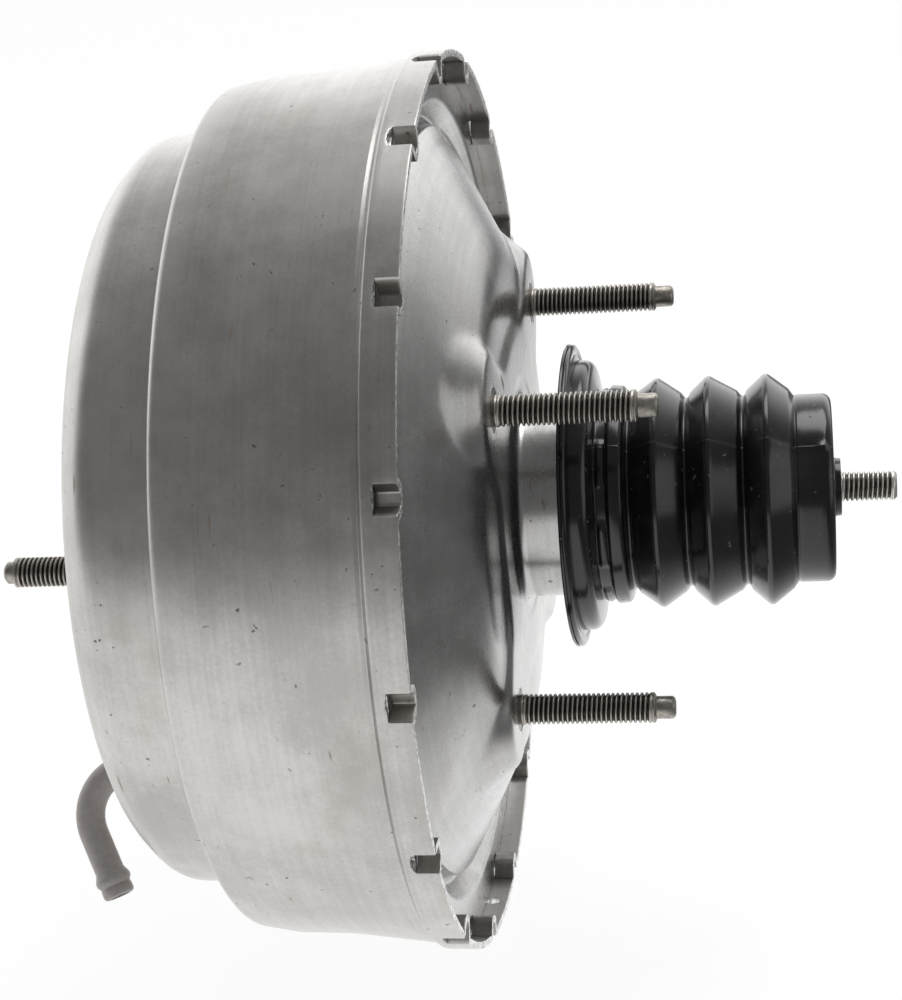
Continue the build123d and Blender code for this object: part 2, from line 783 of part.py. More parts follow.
# Output rod, its snap ring and the screw that sets its length
with BuildPart() as output_rod:
    head_x = disc_x - seat - output_head
    revolve(ring(head_x, head_x + output_head, 0, reaction_bore_radius - free), axis=Axis.X)
    revolve(ring(output_rod_x, head_x, 0, output_radius), axis=Axis.X)
    chamfer(output_rod.edges().group_by(Axis.X)[0], length=tip_chamfer)
    with BuildSketch(Plane.YZ.offset(output_rod_x)):
        Circle(adjuster_stub_radius + seat)
    extrude(amount=2 * output_radius, mode=Mode.SUBTRACT)
output_rod.part.label = "output_rod"

with BuildPart() as output_adjuster:
    hex_x = output_rod_x - seat - adjuster_hex_height
    with BuildSketch(Plane.YZ.offset(hex_x)):
        RegularPolygon(adjuster_hex / 2 / cos(radians(30)), 6)
    extrude(amount=adjuster_hex_height)
    revolve(ring(hex_x, output_rod_x + output_radius, 0, adjuster_stub_radius), axis=Axis.X)
    revolve(ring(output_tip_x, hex_x, 0, stud_radius), axis=Axis.X)
    fillet(output_adjuster.edges().group_by(Axis.X)[0], radius=2.5)
output_adjuster.part.label = "output_adjuster"

with BuildPart() as rod_retainer:
    snap_x = head_x - 5 * seat - snap_ring
    revolve(ring(snap_x, snap_x + snap_ring, output_radius + 0.5, reaction_bore_radius - seat), axis=Axis.X)
    with BuildSketch(Plane.YZ.offset(snap_x)):
        with Locations((reaction_bore_radius, 0)):
            Rectangle(reaction_bore_radius, 3.0)
    extrude(amount=snap_ring, mode=Mode.SUBTRACT)
rod_retainer.part.label = "rod_retainer"

# Plunger: its nose feels the reaction disc, its disc is the air seat, its socket holds the rod's ball
with BuildPart() as plunger:
    nose_x = reaction_x + valve_stroke + free
    groove_x = key_x - free
    socket_bore = ball_radius + seat
    plunger_section = half_section(
        (nose_x, 0),
        (nose_x, plunger_radius),
        (groove_x, plunger_radius),
        (groove_x, plunger_neck_radius),
        (flange_stop_x, plunger_neck_radius),
        (flange_stop_x, plunger_radius),
        (air_seat_x - air_seat_thickness, plunger_radius),
        (air_seat_x - air_seat_thickness, air_seat_radius),
        (air_seat_x, air_seat_radius),
        (air_seat_x, socket_bore + socket_wall),
        (ball_x + 0.7 * ball_radius, socket_bore + socket_wall),
        (ball_x + 0.7 * ball_radius, 0),
    )
    revolve(plunger_section, axis=Axis.X)
    with Locations((ball_x, 0, 0)):
        Sphere(socket_bore, mode=Mode.SUBTRACT)
    oring_x = (nose_x + groove_x) / 2
    revolve(
        ring(oring_x - 1.0, oring_x + 1.0, plunger_radius - 1.3, plunger_radius + seat),
        axis=Axis.X,
        mode=Mode.SUBTRACT,
    )
plunger.part.label = "plunger"

with BuildPart() as plunger_seal:
    with BuildSketch(Plane.XY):
        with Locations((oring_x, plunger_radius - 0.6)):
            Circle(0.6)
    revolve(axis=Axis.X)
plunger_seal.part.label = "plunger_seal"

# Input rod: a ball end, a neck, a shank with a collar and a threaded end for the pedal clevis
with BuildPart() as input_rod:
    neck_end_x = ball_x + 2 * ball_radius
    rod_section = half_section(
        (ball_x, 0),
        (ball_x, rod_neck_radius),
        (neck_end_x, rod_neck_radius),
        (neck_end_x + 2.0, rod_radius),
        (rod_collar_x, rod_radius),
        (rod_collar_x, rod_collar_radius),
        (rod_collar_x + rod_collar_width, rod_collar_radius),
        (rod_collar_x + rod_collar_width, rod_radius),
        (rod_thread_x, rod_radius),
        (rod_thread_x, rod_thread_radius),
        (rod_tip_x - tip_chamfer, rod_thread_radius),
        (rod_tip_x, rod_thread_radius - tip_chamfer),
        (rod_tip_x, 0),
    )
    revolve(rod_section, axis=Axis.X)
    with Locations((ball_x, 0, 0)):
        Sphere(ball_radius)
input_rod.part.label = "input_rod"

# Poppet valve and its retainer, with the springs that load the valve and the rod
poppet_x = air_seat_x + free
poppet_outer = chamber_radius - 2.0
with BuildPart() as poppet_valve:
    poppet_tail_x = retainer_x - 2 * seat
    poppet_section = half_section(
        (poppet_x, socket_bore + socket_wall + 0.5),
        (poppet_x, poppet_outer),
        (poppet_tail_x - 1.5, poppet_outer),
        (poppet_tail_x - 1.5, chamber_radius - 2 * seat),
        (poppet_tail_x, chamber_radius - 2 * seat),
        (poppet_tail_x, poppet_outer - 1.4),
        (poppet_x + poppet_thickness, poppet_outer - 1.4),
        (poppet_x + poppet_thickness, socket_bore + socket_wall + 0.5),
    )
    revolve(poppet_section, axis=Axis.X)
poppet_valve.part.label = "poppet_valve"

with BuildPart() as poppet_retainer:
    retainer_end_x = retainer_x + retainer_length
    retainer_section = half_section(
        (retainer_x, poppet_spring_radius - 1.3),
        (retainer_x, chamber_radius - seat),
        (retainer_end_x, chamber_radius - seat),
        (retainer_end_x, chamber_radius - 1.3),
        (retainer_x + 1.2, chamber_radius - 1.3),
        (retainer_x + 1.2, poppet_spring_radius - 1.3),
    )
    revolve(retainer_section, axis=Axis.X)
poppet_retainer.part.label = "poppet_retainer"

with BuildPart() as poppet_spring:
    poppet_spring_x = poppet_x + poppet_thickness + seat + poppet_wire
    poppet_spring_end_x = retainer_x - seat - poppet_wire
    add(coil(poppet_spring_x, poppet_spring_end_x, poppet_spring_radius, poppet_spring_radius, poppet_wire, 3))
poppet_spring.part.label = "poppet_spring"

spring_seat_x = rod_collar_x - rod_collar_width
with BuildPart() as rod_return_spring:
    rod_spring_x = retainer_x + 1.2 + seat + rod_wire
    rod_spring_end_x = spring_seat_x - seat - rod_wire
    add(coil(rod_spring_x, rod_spring_end_x, rod_spring_radius, rod_spring_radius, rod_wire, 4.5))
rod_return_spring.part.label = "rod_return_spring"

with BuildPart() as rod_spring_seat:
    revolve(ring(spring_seat_x, rod_collar_x, rod_radius + slide, rod_spring_radius + 1.6), axis=Axis.X)
rod_spring_seat.part.label = "rod_spring_seat"

# Filters between the rod and the tube
filter_bore = rod_radius + 0.35
with BuildPart() as silencer:
    revolve(ring(filter_x, filter_split_x, filter_bore, chamber_radius - free), axis=Axis.X)
silencer.part.label = "silencer"

with BuildPart() as air_filter:
    filter_end_x = tube_end_x - 2.0
    revolve(ring(filter_split_x + free, filter_end_x, filter_bore, chamber_radius - free), axis=Axis.X)
air_filter.part.label = "air_filter"

os.makedirs("parts", exist_ok=True)
export_step(front_shell.part, "parts/front_shell.step")
export_step(rear_shell.part, "parts/rear_shell.step")
export_step(centre_plate.part, "parts/centre_plate.step")
export_step(guide_ring.part, "parts/guide_ring.step")
export_step(centre_seal.part, "parts/centre_seal.step")
export_step(rear_studs.part, "parts/rear_studs.step")
export_step(front_studs.part, "parts/front_studs.step")
export_step(backing_plate.part, "parts/backing_plate.step")
export_step(spring_guide.part, "parts/spring_guide.step")
export_step(output_rod_seal.part, "parts/output_rod_seal.step")
export_step(return_spring.part, "parts/return_spring.step")
export_step(vacuum_nipple.part, "parts/vacuum_nipple.step")
export_step(body_seal.part, "parts/body_seal.step")
export_step(body_bearing.part, "parts/body_bearing.step")
export_step(boot.part, "parts/boot.step")
export_step(front_diaphragm.part, "parts/front_diaphragm.step")
export_step(rear_diaphragm.part, "parts/rear_diaphragm.step")
export_step(valve_body.part, "parts/valve_body.step")
export_step(stop_key.part, "parts/stop_key.step")
export_step(front_plate.part, "parts/front_plate.step")
export_step(front_plate_nut.part, "parts/front_plate_nut.step")
export_step(rear_plate.part, "parts/rear_plate.step")
export_step(rear_plate_nut.part, "parts/rear_plate_nut.step")
export_step(reaction_disc.part, "parts/reaction_disc.step")
export_step(output_rod.part, "parts/output_rod.step")
export_step(output_adjuster.part, "parts/output_adjuster.step")
export_step(rod_retainer.part, "parts/rod_retainer.step")
export_step(plunger.part, "parts/plunger.step")
export_step(plunger_seal.part, "parts/plunger_seal.step")
export_step(input_rod.part, "parts/input_rod.step")
export_step(poppet_valve.part, "parts/poppet_valve.step")
export_step(poppet_retainer.part, "parts/poppet_retainer.step")
export_step(poppet_spring.part, "parts/poppet_spring.step")
export_step(rod_return_spring.part, "parts/rod_return_spring.step")
export_step(rod_spring_seat.part, "parts/rod_spring_seat.step")
export_step(silencer.part, "parts/silencer.step")
export_step(air_filter.part, "parts/air_filter.step")
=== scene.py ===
# %% [markdown]
# # A vacuum brake booster, dressed for the camera
# The booster arrives as a finished CAD model: every piece has its true size and place, and nothing here moves
# or resizes it. This lesson gives it what a camera sees, such as drawn steel, sheared edges, rolled threads
# and glossy rubber. Sizes are written in millimetres, and turned into metres where a mesh is made.

# %% Load the frame
from math import asin, ceil, cos, degrees, pi, radians, sin, tan

import bpy
import numpy as np
from mathutils import Matrix, Vector


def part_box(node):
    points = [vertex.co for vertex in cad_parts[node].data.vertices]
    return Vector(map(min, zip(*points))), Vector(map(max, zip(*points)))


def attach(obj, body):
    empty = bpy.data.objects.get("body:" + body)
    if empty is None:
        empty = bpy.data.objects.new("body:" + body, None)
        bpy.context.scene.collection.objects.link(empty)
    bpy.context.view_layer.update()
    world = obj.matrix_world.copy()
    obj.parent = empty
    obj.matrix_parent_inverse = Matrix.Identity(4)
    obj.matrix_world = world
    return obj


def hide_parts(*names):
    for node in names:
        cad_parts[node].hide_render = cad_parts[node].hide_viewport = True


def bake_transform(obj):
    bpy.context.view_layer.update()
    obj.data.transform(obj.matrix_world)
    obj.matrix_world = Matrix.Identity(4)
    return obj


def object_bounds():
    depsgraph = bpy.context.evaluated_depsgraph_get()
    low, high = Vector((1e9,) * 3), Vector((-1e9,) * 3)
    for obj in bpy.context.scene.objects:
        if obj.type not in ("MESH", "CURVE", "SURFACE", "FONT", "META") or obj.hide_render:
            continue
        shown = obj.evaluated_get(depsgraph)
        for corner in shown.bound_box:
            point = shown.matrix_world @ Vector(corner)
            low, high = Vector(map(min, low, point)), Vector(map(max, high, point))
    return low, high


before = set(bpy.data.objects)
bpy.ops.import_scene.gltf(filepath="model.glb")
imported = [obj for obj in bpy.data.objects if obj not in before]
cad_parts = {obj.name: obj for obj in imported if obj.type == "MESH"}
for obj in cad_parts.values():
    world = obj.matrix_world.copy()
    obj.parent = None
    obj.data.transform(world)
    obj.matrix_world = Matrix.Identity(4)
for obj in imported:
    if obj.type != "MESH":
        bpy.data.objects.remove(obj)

MM = 0.001
cad_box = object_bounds()


def in_mm(box):
    """The two corners of a box in millimetres, to a tenth."""
    return [[round(v / MM, 1) for v in corner] for corner in box]


print("CAD nodes:", len(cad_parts), "box in mm:", in_mm(cad_box))

# %% [markdown]
# ## Node trees from sums
# Shaders and Geometry Nodes both work by wiring small boxes together. Formulas are hard to read that way, so
# a socket is wrapped in a class that turns Python's own signs into Math nodes. Every other node comes from
# one method, which takes the node's type, its settings and what goes into its sockets.


# %% A socket to reckon with, and a tree to add to
class Wire:
    """A socket of a node tree. A sum written with it becomes Math nodes."""

    def __init__(self, tree, socket):
        self.tree = tree
        self.socket = socket

    def sum_of(self, operation, *values):
        return Graph(self.tree).add("ShaderNodeMath", {"operation": operation}, dict(enumerate(values)))

    def math(self, operation, *others):
        """This socket and any others it needs, through one Math node."""
        return self.sum_of(operation, self, *others)

    def __add__(self, other):
        return self.math("ADD", other)

    def __radd__(self, other):
        return self.sum_of("ADD", other, self)

    def __sub__(self, other):
        return self.math("SUBTRACT", other)

    def __rsub__(self, other):
        return self.sum_of("SUBTRACT", other, self)

    def __mul__(self, other):
        return self.math("MULTIPLY", other)

    def __rmul__(self, other):
        return self.sum_of("MULTIPLY", other, self)

    def __truediv__(self, other):
        return self.math("DIVIDE", other)

    def __rtruediv__(self, other):
        return self.sum_of("DIVIDE", other, self)

    def __neg__(self):
        return self.math("MULTIPLY", -1.0)

    def other(self, name):
        """Another output of the node that this socket is on."""
        return Wire(self.tree, self.socket.node.outputs[name])


class Graph:
    """A node tree that nodes are added to."""

    def __init__(self, tree):
        self.tree = tree

    def add(self, kind, settings=None, sockets=None, out=0):
        node = self.tree.nodes.new(kind)
        for name, value in (settings or {}).items():
            setattr(node, name, value)
        for name, value in (sockets or {}).items():
            self.plug(node.inputs[name], value)
        return Wire(self.tree, node.outputs[out]) if node.outputs else node

    def plug(self, slot, value):
        if isinstance(value, Wire):
            self.tree.links.new(value.socket, slot)
        else:
            slot.default_value = value

    def band(self, value, low, high):
        """0 below low, 1 above high and a soft step between."""
        sockets = {"Value": value, "From Min": low, "From Max": high}
        return self.add("ShaderNodeMapRange", {"interpolation_type": "SMOOTHSTEP"}, sockets)

    def split(self, vector):
        """A vector's three numbers."""
        x = self.add("ShaderNodeSeparateXYZ", sockets={0: vector})
        return x, x.other("Y"), x.other("Z")

    def vector(self, *numbers):
        """A vector from up to three numbers."""
        return self.add("ShaderNodeCombineXYZ", sockets=dict(enumerate(numbers)))


# %% [markdown]
# ## Camera, light and floor
# The camera stands where the photograph's rim ellipse, axis and studs put it. The light is a plain soft
# studio: a white table with a white wall behind it, and two soft boxes, above and at the right. Steel and
# rubber show what they reflect. So the wall fades to a dark room above and on the camera's side, which draws
# the dark middle of each round form and its pale edges, as in a real studio.


# %% The camera
def show(name, data):
    """A new object in the scene, at the origin."""
    made = bpy.data.objects.new(name, data)
    bpy.context.scene.collection.objects.link(made)
    return made


camera_azimuth, camera_elevation, camera_roll = 10.14, 22.07, -5.72
camera_distance = 564.89
camera_aside, camera_above = -20.33, -0.82
focal_pixels = 2073.2
photo_height = 1000.0

side, lift, roll = radians(camera_azimuth), radians(camera_elevation), radians(camera_roll)
back = Vector((sin(side) * cos(lift), -cos(side) * cos(lift), sin(lift)))
level = Vector((cos(side), sin(side), 0.0))
upright = back.cross(level)
right = level * cos(roll) + upright * sin(roll)
above = upright * cos(roll) - level * sin(roll)
place = (right * camera_aside + above * camera_above + back * camera_distance) * MM
camera_data = bpy.data.cameras.new("camera")
camera_data.lens = camera_data.sensor_width * focal_pixels / photo_height
camera = show("camera", camera_data)
camera.matrix_world = Matrix.Translation(place) @ Matrix((right, above, back)).transposed().to_4x4()
bpy.context.scene.camera = camera
print("lens in mm:", round(camera_data.lens, 2))

# %% The room
white = (1.0, 1.0, 1.0, 1.0)
wall_light, dark_side = 1.75, 0.22
wall_edge, ceiling_edge, right_edge = (-0.15, 0.4), (0.35, 0.8), (0.55, 0.84)
ceiling_dimming, right_dimming = 0.8, 0.88
bpy.context.scene.view_settings.view_transform = "Standard"
world = bpy.data.worlds.new("room")
bpy.context.scene.world = world
world.use_nodes = True
world.node_tree.nodes.clear()
room = Graph(world.node_tree)
seen = room.add("ShaderNodeLightPath", out="Is Camera Ray")
to_right, to_back, to_ceiling = room.split(room.add("ShaderNodeTexCoord", out="Generated"))
wall = room.band(to_back, *wall_edge)
wall = wall * (1.0 - room.band(to_ceiling, *ceiling_edge) * ceiling_dimming)
wall = wall * (1.0 - room.band(to_right, *right_edge) * right_dimming)
room_light = dark_side + wall * (wall_light - dark_side)
strength = seen + (1.0 - seen) * room_light
background = room.add("ShaderNodeBackground", sockets={"Color": white, "Strength": strength})
room.add("ShaderNodeOutputWorld", sockets={"Surface": background})
print("room from", dark_side, "to", wall_light)


# %% The soft boxes
def soft_box(name, spot, aim, size, power):
    """A square area lamp at spot, facing aim, in metres and watts."""
    lamp = bpy.data.lights.new(name, "AREA")
    lamp.size = size
    lamp.energy = power
    facing = (Vector(aim) - Vector(spot)).to_track_quat("-Z", "Y").to_matrix().to_4x4()
    show(name, lamp).matrix_world = Matrix.Translation(spot) @ facing


centre = (-0.02, 0.0, 0.0)
soft_box("top_box", (0.2, 0.3, 0.8), centre, 0.5, 3.4)
soft_box("right_box", (0.95, -0.22, 0.14), centre, 0.7, 1.3)
print("lamps:", len(bpy.data.lights))

# %% [markdown]
# The floor is a sheet of pale paper. Its own glow stands for the light that comes through a lit table. Just
# to the right of the booster its glow is dimmed, a painted shadow where the steel cone mirrors the floor, and
# the real shadow still falls on it.

# %% The floor
floor_gap, floor_half = 0.0002, 4.0
floor_glow = 0.8
floor_white, floor_lit, floor_painted_shadow = 1.12, 1.6, 0.94
painted_shadow_edge = (0.05, 0.18)
paper_colour = (0.9, 0.9, 0.9, 1.0)
floor_level = cad_box[0][2] - floor_gap
floor_mesh = bpy.data.meshes.new("floor")
corners = [(x * floor_half, y * floor_half, floor_level) for x, y in [(-1, -1), (1, -1), (1, 1), (-1, 1)]]
floor_mesh.from_pydata(corners, [], [(0, 1, 2, 3)])
floor = show("floor", floor_mesh)
paper = bpy.data.materials.new("pale_paper")
paper.use_nodes = True
paper.node_tree.nodes.clear()
sweep = Graph(paper.node_tree)
direct = sweep.add("ShaderNodeLightPath", out="Is Camera Ray")
shown = direct.math("MAXIMUM", direct.other("Is Glossy Ray"))
matt = sweep.add("ShaderNodeBsdfDiffuse", sockets={"Color": paper_colour})
to_right = sweep.split(sweep.add("ShaderNodeTexCoord", out="Object"))[0]
# painted shadow: for reflected and scattered rays the floor's glow falls away to the right of the booster
painted_shadow = sweep.band(to_right, *painted_shadow_edge) * floor_painted_shadow
lit = direct * floor_white + (1.0 - direct) * (1.0 - painted_shadow) * floor_lit
glow = sweep.add("ShaderNodeEmission", sockets={"Color": white, "Strength": lit})
sheet = sweep.add("ShaderNodeMixShader", sockets={0: shown * floor_glow, 1: matt, 2: glow})
sweep.add("ShaderNodeOutputMaterial", sockets={"Surface": sheet})
floor_mesh.materials.append(paper)
print("floor at mm:", round(floor_level / MM, 2))

# %% [markdown]
# ## Finishes
# Every finish is procedural: noise of a few sizes for blotches, specks and scratches, and a little bump. The
# patterns read Object coordinates, so they stay on the piece. On turned and pressed pieces the marks of the
# tool run round the axis, so a second place is made from the distance along X and the direction round it.


# %% A finish and its patterns
class Finish(Graph):
    """A material and the few patterns that the booster's finishes are made of."""

    def __init__(self, name):
        self.material = bpy.data.materials.new(name)
        self.material.use_nodes = True
        super().__init__(self.material.node_tree)
        self.tree.nodes.clear()
        self.shader = self.tree.nodes.new("ShaderNodeBsdfPrincipled")
        self.add("ShaderNodeOutputMaterial", sockets={"Surface": Wire(self.tree, self.shader.outputs[0])})
        self.here = self.add("ShaderNodeTexCoord", out="Object")
        self.x, self.y, self.z = self.split(self.here)
        self.radius = (self.y * self.y + self.z * self.z).math("SQRT") + 1e-6

    def put(self, **sockets):
        for name, value in sockets.items():
            self.plug(self.shader.inputs[name.replace("_", " ")], value)

    def noise(self, size, detail=3.0, at=None, rough=0.55):
        """Cloudy noise with features of about this size in metres, from 0 to 1."""
        sockets = {"Vector": at or self.here, "Scale": 1.0 / size, "Detail": detail, "Roughness": rough}
        return self.add("ShaderNodeTexNoise", sockets=sockets)

    def rings(self, width, turn=1.0, detail=2.0):
        """Noise in fine rings round X: its width in metres, and how often it changes round the axis."""
        round_axis = self.y / self.radius * turn, self.z / self.radius * turn
        return self.noise(1.0, detail, self.vector(self.x / width, *round_axis))

    def mix(self, factor, low, high):
        """Two colours mixed, each three numbers or a wire."""
        low, high = [c if isinstance(c, Wire) else (*c, 1.0) for c in (low, high)]
        return self.add("ShaderNodeMix", {"data_type": "RGBA"}, {0: factor, 6: low, 7: high}, out=2)

    def mark(self, name):
        """A number kept on the piece's own points, such as how worn it is."""
        return self.add("ShaderNodeAttribute", {"attribute_name": name}, out="Fac")

    def bump(self, height, depth):
        """Relief of this depth in metres."""
        self.put(Normal=self.add("ShaderNodeBump", sockets={"Height": height, "Distance": depth}))


# %% [markdown]
# The shells are drawn from bare sheet and lightly blasted: a warm satin grey with soft clouds, dark pin
# specks, a few pale ones and faint rusty scratches. The pressed lugs get a painted shade, a dark brown grey
# in their recesses. Drawing over the die leaves fine rings. The metal is not quite a mirror, so a share of
# its light is scattered.

# %% Shell steel
warm_grey, pin_black, chalk = (0.30, 0.265, 0.235), (0.085, 0.078, 0.07), (0.75, 0.75, 0.74)
rust, lug_painted_shade = (0.23, 0.13, 0.085), (0.17, 0.15, 0.125)
sheet_relief = 0.00003


def shell_steel(name, dark, light, smooth=0.0):
    """Satin drawn steel, between two greys; a smooth sheet mirrors more and scatters less."""
    steel = Finish(name)
    clouds = steel.noise(0.055, 3.0)
    patches = steel.noise(0.013, 5.0, rough=0.7)
    grain = steel.noise(0.0009, 2.0)
    drawn = steel.rings(0.0011, 1.6)
    tone = clouds * 0.45 + patches * 0.3 + grain * 0.13 + drawn * 0.12
    colour = steel.mix(steel.band(tone, 0.36, 0.64), dark, light)
    warm = steel.band(steel.noise(0.03, 4.0, rough=0.6), 0.52, 0.7)
    colour = steel.mix(warm * 0.3, colour, warm_grey)
    specks = steel.band(steel.noise(0.0021, 2.0), 0.69, 0.735) * steel.band(patches, 0.44, 0.6)
    colour = steel.mix(specks * 0.75, colour, pin_black)
    pale = steel.band(steel.noise(0.0034, 1.0, steel.rings(0.004, 30.0)), 0.78, 0.8)
    colour = steel.mix(pale * 0.5, colour, chalk)
    rusty = steel.band(steel.noise(0.02, 2.0), 0.56, 0.66)
    streak = steel.band(steel.rings(0.0016, 5.0, 3.0), 0.65, 0.71) * rusty
    colour = steel.mix(streak * 0.6, colour, rust)
    # painted shade: the pressed lugs are darkened to a dark brown grey in their recesses
    pressed = steel.mark("lug") * steel.band(patches, 0.3, 0.62)
    colour = steel.mix(pressed * 0.6, colour, lug_painted_shade)
    rough = 0.31 - smooth + patches * 0.13 + specks * 0.25 + streak * 0.2 - drawn * 0.05
    steel.put(Base_Color=colour, Metallic=0.85 + smooth - streak * 0.4, Roughness=rough)
    relief = grain * 0.5 + drawn * 0.25 + patches * 1.2 + specks * -0.8
    steel.bump(relief, sheet_relief * (1 - 7.5 * smooth))
    return steel.material


drawn_steel = shell_steel("drawn_steel", (0.37, 0.36, 0.343), (0.54, 0.53, 0.512))
cover_steel = shell_steel("cover_steel", (0.29, 0.287, 0.282), (0.45, 0.448, 0.444), smooth=0.08)


# %% Sheared and plated metals
def cut_finish_with_highlight(name):
    """Sheared edges: torn bare metal with a darker burnished band, its pale tone lifted into a near-white
    painted highlight.
    """
    cut = Finish(name)
    torn = cut.noise(0.0011, 4.0, rough=0.7)
    # painted highlight: the cut metal's pale tone is near white and its metal share is low, so every cut edge
    # shows a line of light
    colour = cut.mix(cut.band(torn, 0.36, 0.62), (0.26, 0.255, 0.25), (0.9, 0.9, 0.89))
    cut.put(Base_Color=colour, Metallic=0.65, Roughness=0.24 + torn * 0.25)
    cut.bump(torn, 0.00016)
    return cut.material


def thread_metal(name, root_shade, crest, flat, rough):
    """A rolled thread: painted shade darkens its roots and a painted highlight lightens its crests, with dirt
    mottling both.
    """
    metal = Finish(name)
    dirt = metal.noise(0.0016, 4.0, rough=0.65)
    crest_highlight = metal.mark("crest")
    # painted shade and highlight: the roots take the dark colour and the crests the pale one, by the thread's
    # height
    colour = metal.mix(metal.band(crest_highlight + dirt * 0.5 - 0.25, 0.35, 1.02), root_shade, crest)
    colour = metal.mix(metal.mark("plain") * metal.band(dirt, 0.3, 0.6), colour, flat)
    metal.put(Base_Color=colour, Metallic=0.9, Roughness=rough + dirt * 0.2)
    metal.bump(dirt, 0.00004)
    return metal.material


cut_steel = cut_finish_with_highlight("cut_steel")
phosphate = thread_metal("phosphate", (0.07, 0.063, 0.055), (0.42, 0.395, 0.36), (0.24, 0.225, 0.2), 0.32)
zinc = thread_metal("zinc", (0.15, 0.135, 0.11), (0.7, 0.685, 0.65), (0.6, 0.59, 0.56), 0.22)
print("finishes so far:", len(bpy.data.materials))


# %% [markdown]
# Rubber is nearly black and mirrors its surroundings only at a glance. The boot is glossy, with a faint film
# of dust, and the parts inside are matt. The other finishes belong to pieces that show only when the booster
# is opened: moulded resin, nylon, felt, plated plates and spring wire.

# %% Rubber, resin, nylon and felt
film_grey, dust_grey = (0.07, 0.07, 0.072), (0.2, 0.2, 0.2)


def rubber(name, colour, rough, dust, ring_depth):
    """Moulded rubber, with the rings that the mould's turning tool leaves."""
    soft = Finish(name)
    film = soft.noise(0.011, 5.0, rough=0.65)
    fine = soft.noise(0.0007, 2.0)
    tooled = soft.rings(0.0006, 0.6)
    specks = soft.band(soft.noise(0.0016, 1.0), 0.735, 0.76)
    tint = soft.mix(soft.band(film, 0.45, 0.75) * dust, colour, film_grey)
    tint = soft.mix(specks * 0.4, tint, dust_grey)
    soft.put(Base_Color=tint, Roughness=rough + film * 0.12 + specks * 0.3)
    soft.bump(fine * 0.3 + tooled * 0.6, ring_depth)
    return soft.material


def moulded(name, dark, light, rough, size, metallic=0.0, depth=0.00004):
    """A plain moulded, sintered or rolled material with a grain of this size."""
    plain = Finish(name)
    grain = plain.noise(size, 4.0, rough=0.65)
    clouds = plain.noise(size * 14.0, 3.0)
    tone = plain.band(grain * 0.55 + clouds * 0.45, 0.36, 0.64)
    colour = plain.mix(tone, dark, light)
    plain.put(Base_Color=colour, Metallic=metallic, Roughness=rough + grain * 0.15)
    plain.bump(grain, depth)
    return plain.material


gloss_rubber = rubber("gloss_rubber", (0.006, 0.006, 0.007), 0.14, 0.2, 0.000012)
matt_rubber = rubber("matt_rubber", (0.02, 0.02, 0.021), 0.48, 0.5, 0.00003)
resin = moulded("resin", (0.022, 0.016, 0.013), (0.05, 0.036, 0.028), 0.38, 0.0012)
nylon = moulded("pale_nylon", (0.62, 0.6, 0.54), (0.76, 0.74, 0.68), 0.4, 0.002)
felt = moulded("filter_felt", (0.16, 0.155, 0.14), (0.34, 0.33, 0.3), 0.85, 0.0006, depth=0.0003)
plate_steel = moulded("plated_sheet", (0.36, 0.35, 0.3), (0.5, 0.485, 0.42), 0.3, 0.0015, 0.9)
spring_wire = moulded("spring_wire", (0.12, 0.12, 0.125), (0.27, 0.27, 0.275), 0.26, 0.001, 0.9)
plain_zinc = moulded("plain_zinc", (0.45, 0.44, 0.42), (0.62, 0.61, 0.58), 0.25, 0.0018, 0.95)
nipple_steel = moulded("nipple_steel", (0.5, 0.46, 0.44), (0.6, 0.565, 0.545), 0.5, 0.0019, 0.15, 0.00002)
print("finishes:", [m.name for m in bpy.data.materials])

# %% [markdown]
# ## Lines, lathes and sheets
# Most of the booster is pressed or moulded round one axis. A half section is written as a few corners with
# their bend radii, rounded into a fine line and turned round X. Angles start at -Y, the side that faces the
# camera, and rise towards +Z.


# %% Rounded lines
def rounded(points, radii, turn=9.0):
    """The line through these corners, with each inner corner an arc of its radius."""
    line = [points[0]]
    for before, corner, after, radius in zip(points, points[1:], points[2:], radii):
        before, corner, after = Vector(before), Vector(corner), Vector(after)
        come, leave = (corner - before).normalized(), (after - corner).normalized()
        angle = come.angle(leave)
        start = corner - come * radius * tan(angle / 2)
        inward = (leave - come * cos(angle)) / sin(angle)
        steps = max(2, ceil(degrees(angle) / turn))
        for step in range(steps + 1):
            bend = angle * step / steps
            line.append(start + come * radius * sin(bend) + inward * radius * (1 - cos(bend)))
    line.append(points[-1])
    return np.array([tuple(point) for point in line])


def spaced(line, gap):
    """The same line with points added, so that none are further apart than gap."""
    fine = [line[0]]
    for start, end in zip(line, line[1:]):
        steps = max(1, ceil(np.linalg.norm(end - start) / gap))
        fine += [start + (end - start) * step / steps for step in range(1, steps + 1)]
    return np.array(fine)


def inset(line, gauge):
    """The line moved inwards by gauge: the other face of a sheet."""
    along = np.gradient(line, axis=0)
    along /= np.linalg.norm(along, axis=1)[:, None]
    return line - gauge * np.column_stack([-along[:, 1], along[:, 0]])


# %% Turning a line round the axis
def turned(line, angles):
    """Points of a line turned round X: one row for each point and one column for each angle, in degrees."""
    x, radius = line[:, :1], line[:, 1:]
    turn = np.radians(np.asarray(angles, float))[None, :]
    return np.stack([x + 0 * turn, -radius * np.cos(turn), radius * np.sin(turn)], axis=-1)


def quads(rows, columns, loop=False, start=0):
    """Faces of a grid whose columns close round the axis. A closed section's rows close too."""
    ids = start + np.arange(rows * columns).reshape(rows, columns)
    ids = np.vstack([ids, ids[:1]]) if loop else ids
    turn = np.roll(ids, -1, axis=1)
    return np.stack([ids[:-1], ids[1:], turn[1:], turn[:-1]], axis=-1).reshape(-1, 4)


def soften(mesh, crease):
    """Smooth shading, with sharp edges where the faces turn by more than crease degrees."""
    mesh.shade_smooth()
    mesh.set_sharp_from_angle(angle=radians(crease))


